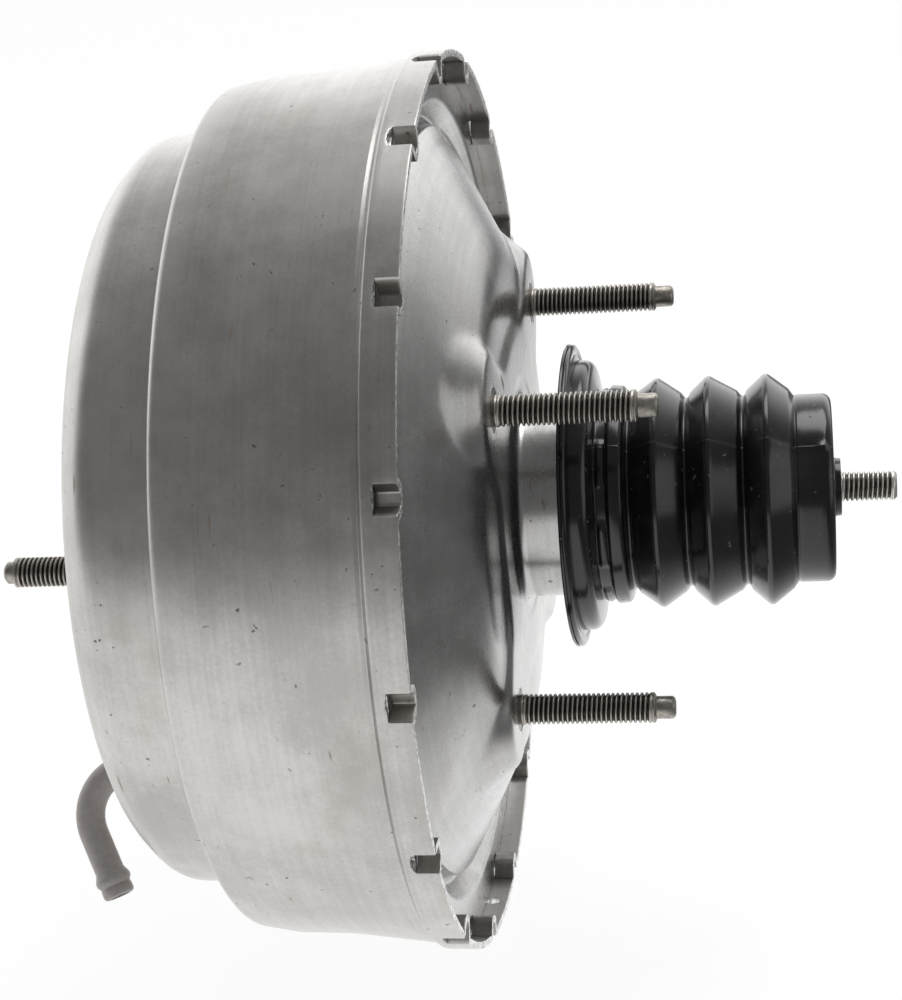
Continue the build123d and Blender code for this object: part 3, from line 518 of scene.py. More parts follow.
def piece(name, points, faces, material, marks=None, crease=35.0):
    """An object from points in millimetres and faces, without the points that no face uses."""
    faces = np.asarray(faces)
    used, inverse = np.unique(faces, return_inverse=True)
    mesh = bpy.data.meshes.new(name)
    mesh.from_pydata((np.asarray(points)[used] * MM).tolist(), [], inverse.reshape(faces.shape).tolist())
    for mark, values in (marks or {}).items():
        stored = mesh.attributes.new(mark, "FLOAT", "POINT")
        stored.data.foreach_set("value", np.asarray(values, np.float32)[used])
    soften(mesh, crease)
    mesh.materials.append(material)
    return show(name, mesh)


def lathe(name, line, material, columns=128, loop=True, marks=None):
    """A half section turned round the axis into an object. A loop of points makes a closed ring."""
    points = turned(np.asarray(line, float), np.arange(columns) * 360.0 / columns)
    marks = {mark: np.repeat(values, columns) for mark, values in (marks or {}).items()}
    faces = quads(len(points), columns, loop)
    return piece(name, points.reshape(-1, 3), faces, material, marks=marks)


def modify(made, kind, **settings):
    """Adds a modifier with these settings."""
    modifier = made.modifiers.new(kind.lower(), kind)
    for name, value in settings.items():
        setattr(modifier, name, value)


def settle(made):
    """Turns what an object's modifiers make into its own plain mesh."""
    evaluated = made.evaluated_get(bpy.context.evaluated_depsgraph_get())
    mesh = bpy.data.meshes.new_from_object(evaluated)
    made.modifiers.clear()
    made.data = mesh
    mesh.name = made.name


# %% Punching a hole
def punch(points, faces, spot, axis, radius, reach):
    """Cuts a round hole: faces inside it go, and the points at its edge move onto the circle."""
    spot, axis = np.asarray(spot, float), np.asarray(axis, float)
    away = points - spot
    along = away @ axis
    flat = away - along[:, None] * axis
    distance = np.linalg.norm(flat, axis=1)
    near = (np.abs(along) < reach) & (distance < 3 * radius)
    middle = np.linalg.norm(flat[faces].mean(axis=1), axis=1)
    inside = near[faces].all(axis=1) & (middle < radius)
    edge = np.intersect1d(faces[inside], faces[~inside])
    points[edge] += flat[edge] * (radius / distance[edge] - 1)[:, None]
    return faces[~inside]


# %% [markdown]
# ## The front shell
# The front shell is a deep drawn cup. Its rim is a skirt that holds the rear shell by sixteen lugs: each lug
# is sheared free along its front edge and pressed in over the rear shell's flange. One skin is made here,
# with more columns of points where a lug comes, and with its row at the shear line doubled there, so that
# the lugs can part from the skirt.

# %% The shell's line
front_low, front_high = in_mm(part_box("front_shell"))
pad_x, skirt_end, skirt_radius = front_low[0], front_high[0], front_high[1]
drum_radius = skirt_radius - 4.0
mouth_radius = drum_radius - 1.9
nose_radius = drum_radius - 13.3
pad_radius, pilot_radius = 55.0, 21.0
shear_x = skirt_end - 5.5
valley_x = shear_x - 3.8
front_corners = [
    (pad_x + 6.0, pilot_radius),
    (pad_x, pilot_radius),
    (pad_x, pad_radius),
    (pad_x + 3.4, pad_radius + 3.4),
    (-97.6, nose_radius - 7.35),
    (-90.85, nose_radius - 0.6),
    (-73.0, nose_radius),
    (-71.2, nose_radius + 1.8),
    (-71.2, mouth_radius),
    (-60.0, drum_radius - 0.15),
    (-46.0, drum_radius + 0.1),
    (valley_x - 1.1, skirt_radius - 1.5),
    (valley_x, skirt_radius - 1.7),
    (valley_x + 1.2, skirt_radius),
    (shear_x, skirt_radius),
]
front_bends = [2.0, 3.0, 6.0, 8.0, 8.0, 1.0, 1.0, 2.6, 0.8, 60.0, 0.5, 0.4, 0.9]
front_line = spaced(rounded(front_corners, front_bends, 12.0), 7.0)
rim_steps = np.array([0.6, 1.2, 1.9, 2.7, 3.5, 4.3, 5.0, 5.5])
rim_line = np.column_stack([shear_x + rim_steps, np.full(len(rim_steps), skirt_radius)])
before_shear = np.array([[shear_x - 1.0, skirt_radius]])
front_line = np.vstack([front_line[:-1], before_shear, front_line[-1:], rim_line])
shear_row = len(front_line) - len(rim_line) - 1
print("front line:", len(front_line), "points, sheared at", shear_row)

# %% Columns of points for the lugs and the sight hole
lug_count = 16
lug_width, lug_floor, lug_depth = 7.3, 3.0, 5.0
lug_places = np.array([0.5, 1.0, 1.4, 1.75, 2.2, 2.7, 3.2]) / 3.65
lug_half = degrees(asin(lug_width / 2 / skirt_radius))
lug_angles = lug_half * np.concatenate([[-1], -lug_places[::-1], [0], lug_places, [1]])
pitch = 360.0 / lug_count
gap_angles = np.linspace(lug_half, pitch - lug_half, 12)[1:-1]
sight_angle, sight_radius = -81.0, 2.2
near_sight = sight_angle + np.linspace(-1.5, 1.5, 11)
columns = np.concatenate([n * pitch + np.concatenate([lug_angles, gap_angles]) for n in range(-8, 8)])
columns = np.unique(np.round(np.concatenate([columns, near_sight]), 5))
print("front skin:", len(front_line), "rows and", len(columns), "columns")

# %% [markdown]
# Pressed sheet is never quite true. A few long waves, up to a quarter of a millimetre deep, bend the
# reflections the way that real sheet does. They only go inwards, so the shell keeps within its true size.


# %% The skin, its doubled row and its holes
def waves(points, height):
    """Moves points towards the axis by a few long waves, of up to this height."""
    turn = np.arctan2(points[..., 2], -points[..., 1])
    x = points[..., 0]
    swell = np.sin(5 * turn + 0.08 * x) + np.sin(3 * turn - 1.3 + 0.05 * x) + 0.6 * np.sin(9 * turn + 2.0)
    lift = swell / 5.2 - 0.5
    scale = 1 + height * lift / np.maximum(np.hypot(points[..., 1], points[..., 2]), 1.0)
    points[..., 1:] *= scale[..., None]
    return points


wave_height = 0.25
skin = waves(turned(front_line, columns), wave_height)
rows, count = skin.shape[:2]
points = skin.reshape(-1, 3)
faces = quads(rows, count)
off_lug = np.abs((columns + pitch / 2) % pitch - pitch / 2)
in_lug = off_lug < lug_half - 0.01
doubled = np.flatnonzero(in_lug) + shear_row * count
twin = np.full(len(points), -1)
twin[doubled] = len(points) + np.arange(len(doubled))
points = np.vstack([points, points[doubled]])
beyond_shear = np.arange(len(faces)) // count >= shear_row
faces = np.where(beyond_shear[:, None] & (twin[faces] >= 0), twin[faces], faces)
is_lug = np.zeros(len(points))
first_free = (shear_row + 1) * count
is_lug[first_free:len(twin)] = np.tile(in_lug, rows)[first_free:]
is_lug[len(twin):] = 1.0
is_slit = np.zeros(len(points))
is_slit[doubled] = 1.0
is_slit[doubled - count] = 0.5
print("points doubled for the lugs:", len(doubled))

# %% Holes for the studs, and a small sight hole
front_stud_y = 41.0
stud_hole, punch_reach = 5.7, 3.0
sight_out = (0.0, -cos(radians(sight_angle)), sin(radians(sight_angle)))
sight_spot = np.array([skirt_end - 4.1, 0, 0]) + skirt_radius * np.array(sight_out)
for y in (-front_stud_y, front_stud_y):
    faces = punch(points, faces, (pad_x, y, 0.0), (1.0, 0.0, 0.0), stud_hole, punch_reach)
faces = punch(points, faces, sight_spot, sight_out, sight_radius, punch_reach)
front = piece("front_shell_skin", points, faces, drawn_steel, marks={"lug": is_lug, "slit": is_slit})
print("front skin:", len(faces), "faces")

# %% [markdown]
# ## Pressing the lugs with Geometry Nodes
# The lugs follow a rule, so a node tree presses them. Each point knows its angle round the axis, and from
# that its distance across the nearest lug. Ramps lead down to a flat floor. The punches were worn, so each
# lug differs a little in place, depth and tilt, and the skirt's own edge is torn back in a shallow arc in
# front of it.


# %% A tree and its named inputs
def new_tree(name, sizes):
    """A modifier tree with a geometry in and out and a float input for each size, and its wires."""
    tree = bpy.data.node_groups.new(name, "GeometryNodeTree")
    tree.is_modifier = True
    tree.interface.new_socket("Geometry", in_out="INPUT", socket_type="NodeSocketGeometry")
    tree.interface.new_socket("Geometry", in_out="OUTPUT", socket_type="NodeSocketGeometry")
    for size in sizes:
        tree.interface.new_socket(size, in_out="INPUT", socket_type="NodeSocketFloat")
    given = tree.nodes.new("NodeGroupInput")
    return Graph(tree), {socket.name: Wire(tree, socket) for socket in given.outputs if socket.name}


def end_tree(graph, geometry, material):
    """Realizes what a tree has made, gives it a material and sends it out."""
    real = graph.add("GeometryNodeRealizeInstances", sockets={"Geometry": geometry})
    dressed = graph.add("GeometryNodeSetMaterial", sockets={"Geometry": real, "Material": material})
    graph.add("NodeGroupOutput", sockets={"Geometry": dressed})


def grow(made, graph, **sizes):
    """Runs a tree on an object with these sizes, and keeps the result as the object's plain mesh."""
    modifier = made.modifiers.new("grow", "NODES")
    modifier.node_group = graph.tree
    for socket in graph.tree.interface.items_tree:
        if socket.in_out == "INPUT" and socket.name in sizes:
            modifier[socket.identifier] = float(sizes[socket.name])
    settle(made)


# %% The tree that presses the lugs
wander, floor_bend, lip_bend = 0.0007, 0.0011, 0.0007
least_depth, depth_spread, tilt = 0.86, 0.16, 0.35
ragged, burr, proud = 0.0006, 0.0004, 0.00012
press, size = new_tree("press_lugs", ["Count", "Width", "Floor", "Depth", "Tear", "Seed"])
where = press.add("GeometryNodeInputPosition")
x, y, z = press.split(where)
radius = (y * y + z * z).math("SQRT")
turn = z.math("ARCTAN2", -y) * size["Count"] / (2 * pi)
nearest = turn.math("ROUND")
across = (turn - nearest) * (2 * pi) / size["Count"]
across = radius * across.math("SINE")
chance = press.add("ShaderNodeTexWhiteNoise", {"noise_dimensions": "1D"}, {"W": nearest + size["Seed"]})
luck_place, luck_depth, luck_tilt = press.split(chance.other("Color"))
reach = (across + (luck_place - 0.5) * wander).math("ABSOLUTE")
slope = size["Depth"] / (size["Width"] * 0.5 - size["Floor"] * 0.5)
ramp = (size["Width"] * 0.5 - reach) * slope
deep = size["Depth"] * (least_depth + depth_spread * luck_depth) + across * (luck_tilt - 0.5) * tilt
drop = ramp.math("SMOOTH_MIN", deep, floor_bend).math("SMOOTH_MAX", 0.0, lip_bend)
fringe = press.add("ShaderNodeTexNoise", None, {"Vector": where, "Scale": 900.0, "Detail": 2.0}) - 0.5
read_mark = "GeometryNodeInputNamedAttribute", {"data_type": "FLOAT"}
lug, slit = [press.add(*read_mark, {"Name": name}, out="Attribute") for name in ("lug", "slit")]
part = 1.0 - across * across * 4.0 / (size["Width"] * size["Width"])
torn = size["Tear"] * part * (0.25 + 0.75 * luck_tilt) + fringe * ragged
scale = 1.0 - lug * drop / radius
shift = lug * (fringe * burr + proud) - slit * torn
moved = press.vector(x + shift, y * scale, z * scale)
pressed = press.add("GeometryNodeSetPosition", sockets={"Geometry": size["Geometry"], "Position": moved})
end_tree(press, pressed, drawn_steel)
print("press_lugs:", len(press.tree.nodes), "nodes")

# %% Press the lugs
lug_sizes = {"Width": lug_width * MM, "Floor": lug_floor * MM, "Depth": lug_depth * MM}
grow(front, press, Count=lug_count, Tear=0.0013, Seed=11.0, **lug_sizes)
print("pressed skin:", len(front.data.polygons), "faces")

# %% [markdown]
# The skin gets its wall from Solidify, inwards, because the outer face is the one that was measured. The
# faces that Solidify adds at the slits, the holes and the rim are the sheared ones, so they take the cut
# finish: bare metal whose near-white tone is a painted highlight. A small Bevel gives every cut edge a line
# of light.


# %% The wall and the cut edges
def thicken(made, gauge, edge, cut):
    """Gives a skin its wall, with the added rim in the cut finish and small bevels on the edges."""
    made.data.materials.append(cut)
    wall = {"thickness": gauge * MM, "offset": -1.0, "use_even_offset": False, "material_offset_rim": 1}
    modify(made, "SOLIDIFY", **wall)
    modify(made, "BEVEL", width=edge * MM, segments=2, limit_method="ANGLE", angle_limit=radians(48.0))
    settle(made)
    made.data.set_sharp_from_angle(angle=radians(42.0))
    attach(made, "housing")


front_gauge, front_bevel = 1.8, 0.16
thicken(front, front_gauge, front_bevel, cut_steel)
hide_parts("front_shell")
print("front shell:", len(front.data.polygons), "faces")

# %% [markdown]
# ## The rear shell
# The rear shell is a shallow cone with a raised pad, whose four arms carry the studs. Its face is worked out
# as a height over the plane: a cone, a flat centre, and a pad whose edge is the distance to a disc joined
# softly with two slots. Soft maximum and minimum give the bends that a press leaves.

# %% Sizes of the rear shell
neck_end, flange_radius = in_mm(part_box("rear_shell"))[1][:2]
flange_x = shear_x - 0.1
flange_inner = flange_radius - 11.0
groove_x, groove_radius = flange_x - 5.6, flange_inner - 3.6
cone_foot_x, cone_foot_radius, cone_top_radius = flange_x - 2.7, flange_inner - 3.3, 65.9
plateau_depth = 1.2
cone_rise = (-plateau_depth - cone_foot_x) / (cone_foot_radius - cone_top_radius)
neck_radius, neck_mouth, neck_foot = 27.0, 21.0, 5.0
disc_radius, boss_radius, boss_draft = 44.0, 13.5, 38.0
cone_bend, waist_bend, pad_bend, foot_bend = 2.4, 9.0, 1.4, 1.2
stud_places = [(y, z) for y in (-44.6, 44.6) for z in (-41.4, 41.4)]
print("cone rises by", round(cone_rise, 3), "for each mm inwards")


# %% The height of its face
def soft_max(a, b, soft):
    """The larger of two, with a bend where they cross."""
    return (a + b + np.sqrt((a - b) ** 2 + soft * soft)) / 2


def soft_min(a, b, soft):
    """The smaller of two, with a bend where they cross."""
    return -soft_max(-a, -b, soft)


def from_slot(y, z, end_y, end_z):
    """Distance to the line from (-end_y, -end_z) to (end_y, end_z)."""
    along = np.clip((y * end_y + z * end_z) / (end_y**2 + end_z**2), -1, 1)
    return np.hypot(y - along * end_y, z - along * end_z)


def rear_height(y, z):
    """X of the rear shell's outer face over the plane."""
    radius = np.hypot(y, z)
    base = soft_min(cone_foot_x + (cone_foot_radius - radius) * cone_rise, -plateau_depth, cone_bend)
    arms = np.minimum(from_slot(y, z, *stud_places[2]), from_slot(y, z, *stud_places[3])) - boss_radius
    flank = -soft_min(radius - disc_radius, arms, waist_bend) / tan(radians(boss_draft))
    return soft_max(base, soft_min(flank, 0.0, pad_bend), foot_bend)


# %% The rear skin
rim_corners = [(flange_x, flange_radius), (flange_x, flange_inner), (groove_x, groove_radius)]
rim_corners.append((groove_x + 0.3, groove_radius - 2.0))
rim_corners += [(cone_foot_x + cone_rise * inward, cone_foot_radius - inward) for inward in (3.0, 7.0)]
rim_part = spaced(rounded(rim_corners, [1.8, 1.2, 1.0, 1.2]), 2.2)
neck_corners = [(0.0, neck_radius + neck_foot), (0.0, neck_radius), (neck_end, neck_radius)]
neck_part = spaced(rounded(neck_corners + [(neck_end, neck_mouth)], [3.0, 2.5]), 2.5)
face_step, rear_column_count, rear_wave = 1.3, 320, 0.05
face_radii = np.arange(flange_inner - 11.1, neck_radius + neck_foot + 0.2, -face_step)
face_part = np.column_stack([0 * face_radii, face_radii])
rear_line = np.vstack([rim_part, face_part, neck_part])
skin = turned(rear_line, np.arange(rear_column_count) * 360.0 / rear_column_count)
on_face = slice(len(rim_part), len(rim_part) + len(face_part))
skin[on_face, :, 0] = rear_height(skin[on_face, :, 1], skin[on_face, :, 2])
skin[:, :, 0] += rear_wave * np.sin(0.11 * skin[:, :, 1] + 1.0) * np.sin(0.09 * skin[:, :, 2])
points = skin.reshape(-1, 3)
faces = quads(len(rear_line), rear_column_count)
for y, z in stud_places:
    faces = punch(points, faces, (0.0, y, z), (1.0, 0.0, 0.0), stud_hole, punch_reach)
print("rear skin:", len(faces), "faces")

# %% The rear wall
rear_gauge, rear_bevel = 2.0, 0.14
rear = piece("rear_shell_skin", points, faces, cover_steel, crease=50.0)
thicken(rear, rear_gauge, rear_bevel, cut_steel)
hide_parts("rear_shell")
print("rear shell:", len(rear.data.polygons), "faces")

# %% [markdown]
# ## Threads with Geometry Nodes
# A thread is a tube whose radius rises and falls along a helix. The tree bends a flat grid round the axis:
# the distance along X gives the phase, and the angle shifts it by one pitch in each turn. It is made once for
# each set of studs, placed on their points and realized.

# %% The thread tree
thread_facets = 29
root_width, crest_width = 0.08, 0.84
thread, size = new_tree("roll_thread", ["Length", "Radius", "Pitch", "Depth", "Fade", "Turn", "Rows"])
grid_sizes = {"Size X": 1.0, "Size Y": 1.0, "Vertices X": size["Rows"], "Vertices Y": thread_facets}
flat = thread.add("GeometryNodeMeshGrid", None, grid_sizes)
x, y, _ = thread.split(thread.add("GeometryNodeInputPosition"))
along = (x + 0.5) * size["Length"]
turn = (y + 0.5) * (2 * pi)
phase = along / size["Pitch"] - turn / (2 * pi)
height = thread.band(phase.math("PINGPONG", 0.5) * 2.0, root_width, crest_width)
cut = (along.math("MINIMUM", size["Length"] - along) / size["Fade"]).math("MINIMUM", 1.0)
crest = 1.0 - cut * (1.0 - height)
radius = size["Radius"] - size["Depth"] * cut * (1.0 - height)
bent = thread.vector(along, -radius * turn.math("COSINE"), radius * turn.math("SINE"))
stored = {"Geometry": flat, "Name": "crest", "Value": crest}
marked = thread.add("GeometryNodeStoreNamedAttribute", sockets=stored)
rolled = thread.add("GeometryNodeSetPosition", sockets={"Geometry": marked, "Position": bent})
facing = thread.add("FunctionNodeEulerToRotation", sockets={0: thread.vector(0.0, 0.0, size["Turn"])})
spots = {"Points": size["Geometry"], "Instance": rolled, "Rotation": facing}
placed = thread.add("GeometryNodeInstanceOnPoints", sockets=spots)
placed = thread.add("GeometryNodeRealizeInstances", sockets={"Geometry": placed})
closed = thread.add("GeometryNodeMergeByDistance", sockets={"Geometry": placed, "Distance": 1e-6})
end_tree(thread, closed, phosphate)
print("roll_thread:", len(thread.tree.nodes), "nodes")


# %% [markdown]
# A stud is turned round its own axis in three stretches: what lies behind the thread, the thread and the
# point. The plain stretches are lathed lines, moved to the stud's place and joined with the threads in one
# mesh. A line that ends on the axis stops a micrometre short of it, so that no face is without area.


# %% A threaded piece
on_axis = 0.001
stud_radius, thread_pitch, thread_depth = 4.0, 1.25, 0.72
rows_per_turn = 9


def join(made, parts):
    """One mesh from several objects, in place of the first."""
    with bpy.context.temp_override(active_object=made, selected_editable_objects=parts, object=made):
        bpy.ops.object.join()
    soften(made.data, 50.0)


def threaded(name, material, spots, length, stretches, facing=1.0, fade=2.0):
    """Threads of this length that start at each spot, with plain stretches of half section beside them."""
    seeds = bpy.data.meshes.new(name)
    seeds.from_pydata([tuple(v * MM for v in spot) for spot in spots], [], [])
    made = show(name, seeds)
    sizes = {"Length": length, "Radius": stud_radius, "Pitch": thread_pitch, "Depth": thread_depth}
    sizes = {key: value * MM for key, value in sizes.items()}
    rows = round(length / thread_pitch * rows_per_turn)
    grow(made, thread, Fade=fade * MM, Turn=0.0 if facing > 0 else pi, Rows=rows, **sizes)
    parts = [made]
    for spot in spots:
        for stretch in stretches:
            marks = {"plain": np.ones(len(stretch)), "crest": np.ones(len(stretch))}
            plain = lathe("stretch", stretch, material, 48, False, marks)
            if facing < 0:
                plain.data.transform(Matrix.Rotation(pi, 4, "Z"))
            plain.data.transform(Matrix.Translation([v * MM for v in spot]))
            parts.append(plain)
    made.data.materials.clear()
    made.data.materials.append(material)
    join(made, parts)
    return made


# %% The studs
stud_neck, dog_radius = 5.6, 2.95
thread_start = 0.8


def stud_lines(head, thread, dog):
    """What lies behind a stud's thread and its point, measured from where the thread starts."""
    head_back, head_front, head_radius = head
    head_line = [(head_back, on_axis), (head_back, head_radius), (head_front, head_radius)]
    head_line += [(head_front, stud_neck), (0.0, stud_neck), (0.0, stud_radius - 0.25)]
    behind = [(x - thread_start, r) for x, r in head_line + [(thread_start, stud_radius)]]
    point = [(thread, stud_radius), (thread + 0.35, 3.5), (thread + 0.6, dog_radius)]
    point += [(thread + x, dog_radius - cut) for x, cut in dog] + [(thread + dog[-1][0], on_axis)]
    return behind, point


rear_thread = 34.2
rear_lines = stud_lines((-5.0, -2.0, 9.0), rear_thread, [(4.7, 0.0), (5.25, 0.45), (5.5, 1.1)])
rear_spots = [(thread_start, y, z) for y, z in stud_places]
rear_studs = threaded("rear_stud_threads", phosphate, rear_spots, rear_thread, rear_lines)
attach(rear_studs, "housing")
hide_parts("rear_studs")

front_thread = 21.4
front_lines = stud_lines((-7.3, -4.3, 7.5), front_thread, [(2.3, 0.0), (3.0, 0.7)])
front_spots = [(pad_x - thread_start, y, 0.0) for y in (-front_stud_y, front_stud_y)]
front_studs = threaded("front_stud_threads", phosphate, front_spots, front_thread, front_lines, facing=-1.0)
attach(front_studs, "housing")
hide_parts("front_studs")
print("stud faces:", len(rear_studs.data.polygons), len(front_studs.data.polygons))

# %% The push rod
ball_x, ball_radius = 11.2, 5.0
rod_radius, rod_collar = 4.75, 5.6
rod_start = 84.5
rod_end = in_mm(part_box("input_rod"))[1][0]
rod_thread = rod_end - 0.9 - rod_start
ball_turns = np.linspace(0, radians(140), 13)
shank = [(ball_x - ball_radius * cos(a), max(on_axis, ball_radius * sin(a))) for a in ball_turns]
shank += [(21.2, 3.2), (23.2, rod_radius), (48.0, rod_radius), (48.0, rod_collar), (50.0, rod_collar)]
shank += [(50.0, rod_radius), (rod_start, rod_radius), (rod_start, stud_radius)]
tip = [(rod_end - 0.9, stud_radius), (rod_end, stud_radius - 0.8), (rod_end, on_axis)]
rod_lines = [[(x - rod_start, r) for x, r in line] for line in (shank, tip)]
rod = threaded("push_rod", zinc, [(rod_start, 0.0, 0.0)], rod_thread, rod_lines, fade=1.0)
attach(rod, "input_rod")
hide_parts("input_rod")
print("push rod:", len(rod.data.polygons), "faces")

# %% [markdown]
# ## The boot
# The boot keeps dust off the valve. It is moulded in black rubber: a layered flange against the mounting
# face, a bulge over the neck, a waist with raised tabs, three folds with a small land on each crest, and a
# collar that ends in a nozzle round the push rod. The outer line is drawn with more corners than the inner
# one.

# %% The boot's lines
boot_low, boot_high = in_mm(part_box("boot"))
flange_face, flange_rim = boot_low[0] + 1.1, boot_high[1]
boot_wall = 1.5
fold_places = [36.9, 50.6, 65.7]
root_places = [29.65, 44.55, 59.45, 72.85]
crest_radius, root_radius = 30.8, 24.8
collar_radius, boot_end = 25.0, 82.5
rod_hole = 5.15
lip_steps = [(0.0, 0.4), (0.35, 0.0), (0.8, 0.1), (0.95, 0.75), (1.15, 0.75), (1.3, 0.15), (1.8, 0.25)]
lip_steps += [(2.2, 0.9), (2.2, 2.6), (1.95, 2.9), (2.2, 3.2)]
lips = [(flange_face, neck_radius + 0.4)] + [(flange_face + x, flange_rim - r) for x, r in lip_steps]
outer = [(flange_face + 2.2, 36.5), (20.0, 36.5), (21.2, 28.2), (24.3, 28.2), (24.6, 29.6), (28.2, 29.2)]
bends = [2.8, 0.9, 0.4, 0.9, 1.2]
inner = [(flange_face + 2.2, 36.5), (20.0, 36.5), (21.5, 28.5), (root_places[0] - 2.5, 28.5)]
inner_bends = [2.5, 1.5, 2.0]
for crest_x, root_x, next_x in zip(fold_places, root_places, root_places[1:]):
    outer += [(root_x, root_radius), (root_x + 1.2, root_radius + 2.1), (crest_x - 0.9, crest_radius - 0.25)]
    outer += [(crest_x - 0.35, crest_radius), (crest_x + 0.45, crest_radius)]
    outer += [(crest_x + 1.1, crest_radius - 0.45), (next_x - 1.4, root_radius + 1.9)]
    bends += [0.6, 1.2, 0.5, 0.25, 0.25, 0.5, 1.3]
    inner += [(root_x, root_radius), (crest_x, crest_radius)]
    inner_bends += [2.0, 2.0]
outer += [(root_places[-1], collar_radius - 0.3), (root_places[-1] + 0.6, collar_radius)]
outer += [(boot_end, collar_radius), (boot_end, 8.4), (boot_end + 0.5, 7.8), (boot_end + 2.0, 7.6)]
bends += [0.4, 0.4, 2.4, 0.4, 0.3]
inner += [(root_places[-1], collar_radius), (boot_end, collar_radius), (boot_end, 7.8)]
inner_bends += [2.0, 4.0]
outer_line = spaced(rounded(outer, bends, 12.0), 1.4)
inner_line = inset(spaced(rounded(inner, inner_bends, 12.0), 2.0), boot_wall)
nozzle = [(boot_end + 2.0, rod_hole), (inner_line[-1][0], rod_hole)]
section = np.vstack([lips, outer_line, nozzle, inner_line[::-1], [(flange_face + 2.2, neck_radius + 0.4)]])
print("boot section:", len(section), "points")

# %% [markdown]
# The tabs round the waist and the mould's parting line are shaped after the line is turned, by moving points
# in or out where they belong. The parting line runs along the boot on two opposite sides, and a nub of rubber
# is left at its end where the mould was filled.

# %% The boot's mesh
tab_count, tab_share, tab_height = 8, 0.58, 0.9
waist_x, waist_radius = 22.75, 28.0
seam_angle, seam_width, seam_height = 47.0, 0.6, 0.09
nub_back, nub_width, nub_length, nub_height = 2.6, 2.4, 0.9, 0.9
seam_columns = seam_angle + np.linspace(-1.2, 1.2, 9)
boot_columns = np.concatenate([np.arange(180) * 2.0, seam_columns, seam_columns + 180])
boot_columns = np.unique(np.round(boot_columns, 4))
skin = turned(section, boot_columns)
turn = np.radians(boot_columns)
place_x, place_r = section.T
tab = np.clip((np.cos(tab_count * turn + 0.9) - cos(pi * tab_share)) * 5.0, 0, 1)
on_waist = np.clip(1.35 - np.abs(place_x - waist_x) / 1.1, 0, 1)
on_waist *= (place_r > waist_radius) * (place_x > waist_x - 1.75)
on_outside = np.zeros(len(section))
on_outside[len(lips) + 8:len(lips) + len(outer_line) - 3] = 1.0
seam = np.exp(-(((boot_columns - seam_angle + 90) % 180 - 90) / seam_width) ** 2)
nub = np.exp(-(((boot_columns - seam_angle) / nub_width) ** 2))
at_end = np.exp(-(((place_x - boot_end + nub_back) / nub_length) ** 2)) * (place_r > collar_radius - 1.5)
swell = tab_height * np.outer(on_waist, tab) + seam_height * np.outer(on_outside, seam)
swell += nub_height * np.outer(at_end, nub)
skin[:, :, 1] -= swell * np.cos(turn)
skin[:, :, 2] += swell * np.sin(turn)
faces = quads(len(section), len(boot_columns), loop=True)
boot = piece("boot_rubber", skin.reshape(-1, 3), faces, gloss_rubber, crease=60.0)
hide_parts("boot")
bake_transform(boot)
print("boot:", len(boot.data.polygons), "faces")

# %% [markdown]
# ## The vacuum nipple
# The nipple is a bent steel tube brazed into the front cone. A curve could carry it, but the tube swells at
# its barb and has a bore, so its section is turned along a route of its own: out of the cone, round a bend
# and on.

# %% The tube
nipple_angle, nipple_radius = -60.0, 69.5
nipple_root, nipple_bend_x, nipple_bend = -101.5, -112.4, 13.0
stub_heading, stub_length = 65.8, 18.6
root_heading = 180.0 - 12.0
tube_radius, tube_bore, bore_depth = 4.0, 2.8, 9.0
out = np.array([0.0, -cos(radians(nipple_angle)), sin(radians(nipple_angle))])
axis = np.array([1.0, 0.0, 0.0])
bend_side = np.cross(axis, out)
ring = np.radians(np.arange(36) * 10.0)


def ring_at(x, r, heading, radius):
    """A ring of points round the route in the nipple's plane, square to its heading in degrees."""
    across = -sin(radians(heading)) * axis + cos(radians(heading)) * out
    return [x * axis + r * out + radius * (across * cos(a) + bend_side * sin(a)) for a in ring]


lean = tan(radians(180.0 - root_heading))
route = []
for x in np.linspace(nipple_root, nipple_bend_x, 6):
    route.append((x, nipple_radius + (nipple_root - x) * lean, root_heading, tube_radius))
turn_x = nipple_bend_x + nipple_bend * sin(radians(root_heading))
turn_r = route[-1][1] - nipple_bend * cos(radians(root_heading))
for heading in np.linspace(root_heading, stub_heading, 17)[1:]:
    a = radians(heading)
    route.append((turn_x - nipple_bend * sin(a), turn_r + nipple_bend * cos(a), heading, tube_radius))
bend_x, bend_r = route[-1][:2]
barb = [(16.0, 0.0), (12.0, 0.0), (7.4, 0.0), (6.3, 0.5), (5.3, 0.9), (4.3, 0.85), (3.6, 0.35), (3.1, 0.15)]
barb += [(2.6, 0.3), (1.0, 0.35), (0.3, 0.1), (0.0, -0.5)]
barb += [(0.0, tube_bore - tube_radius), (bore_depth, tube_bore - tube_radius)]
for left, swell in barb:
    far = stub_length - left
    x, r = bend_x + far * cos(radians(stub_heading)), bend_r + far * sin(radians(stub_heading))
    route.append((x, r, stub_heading, tube_radius + swell))
route = [(*route[0][:3], on_axis)] + route + [(*route[-1][:3], on_axis)]
rows = np.array([ring_at(*stop) for stop in route])
tube = piece("nipple_tube", rows.reshape(-1, 3), quads(len(rows), len(ring)), nipple_steel)
print("nipple:", len(tube.data.polygons), "faces")

# %% [markdown]
# The collar is a braze-welded ring that sits square on the cone. It is turned round the cone's own normal and
# has a soft fillet of braze at its foot.

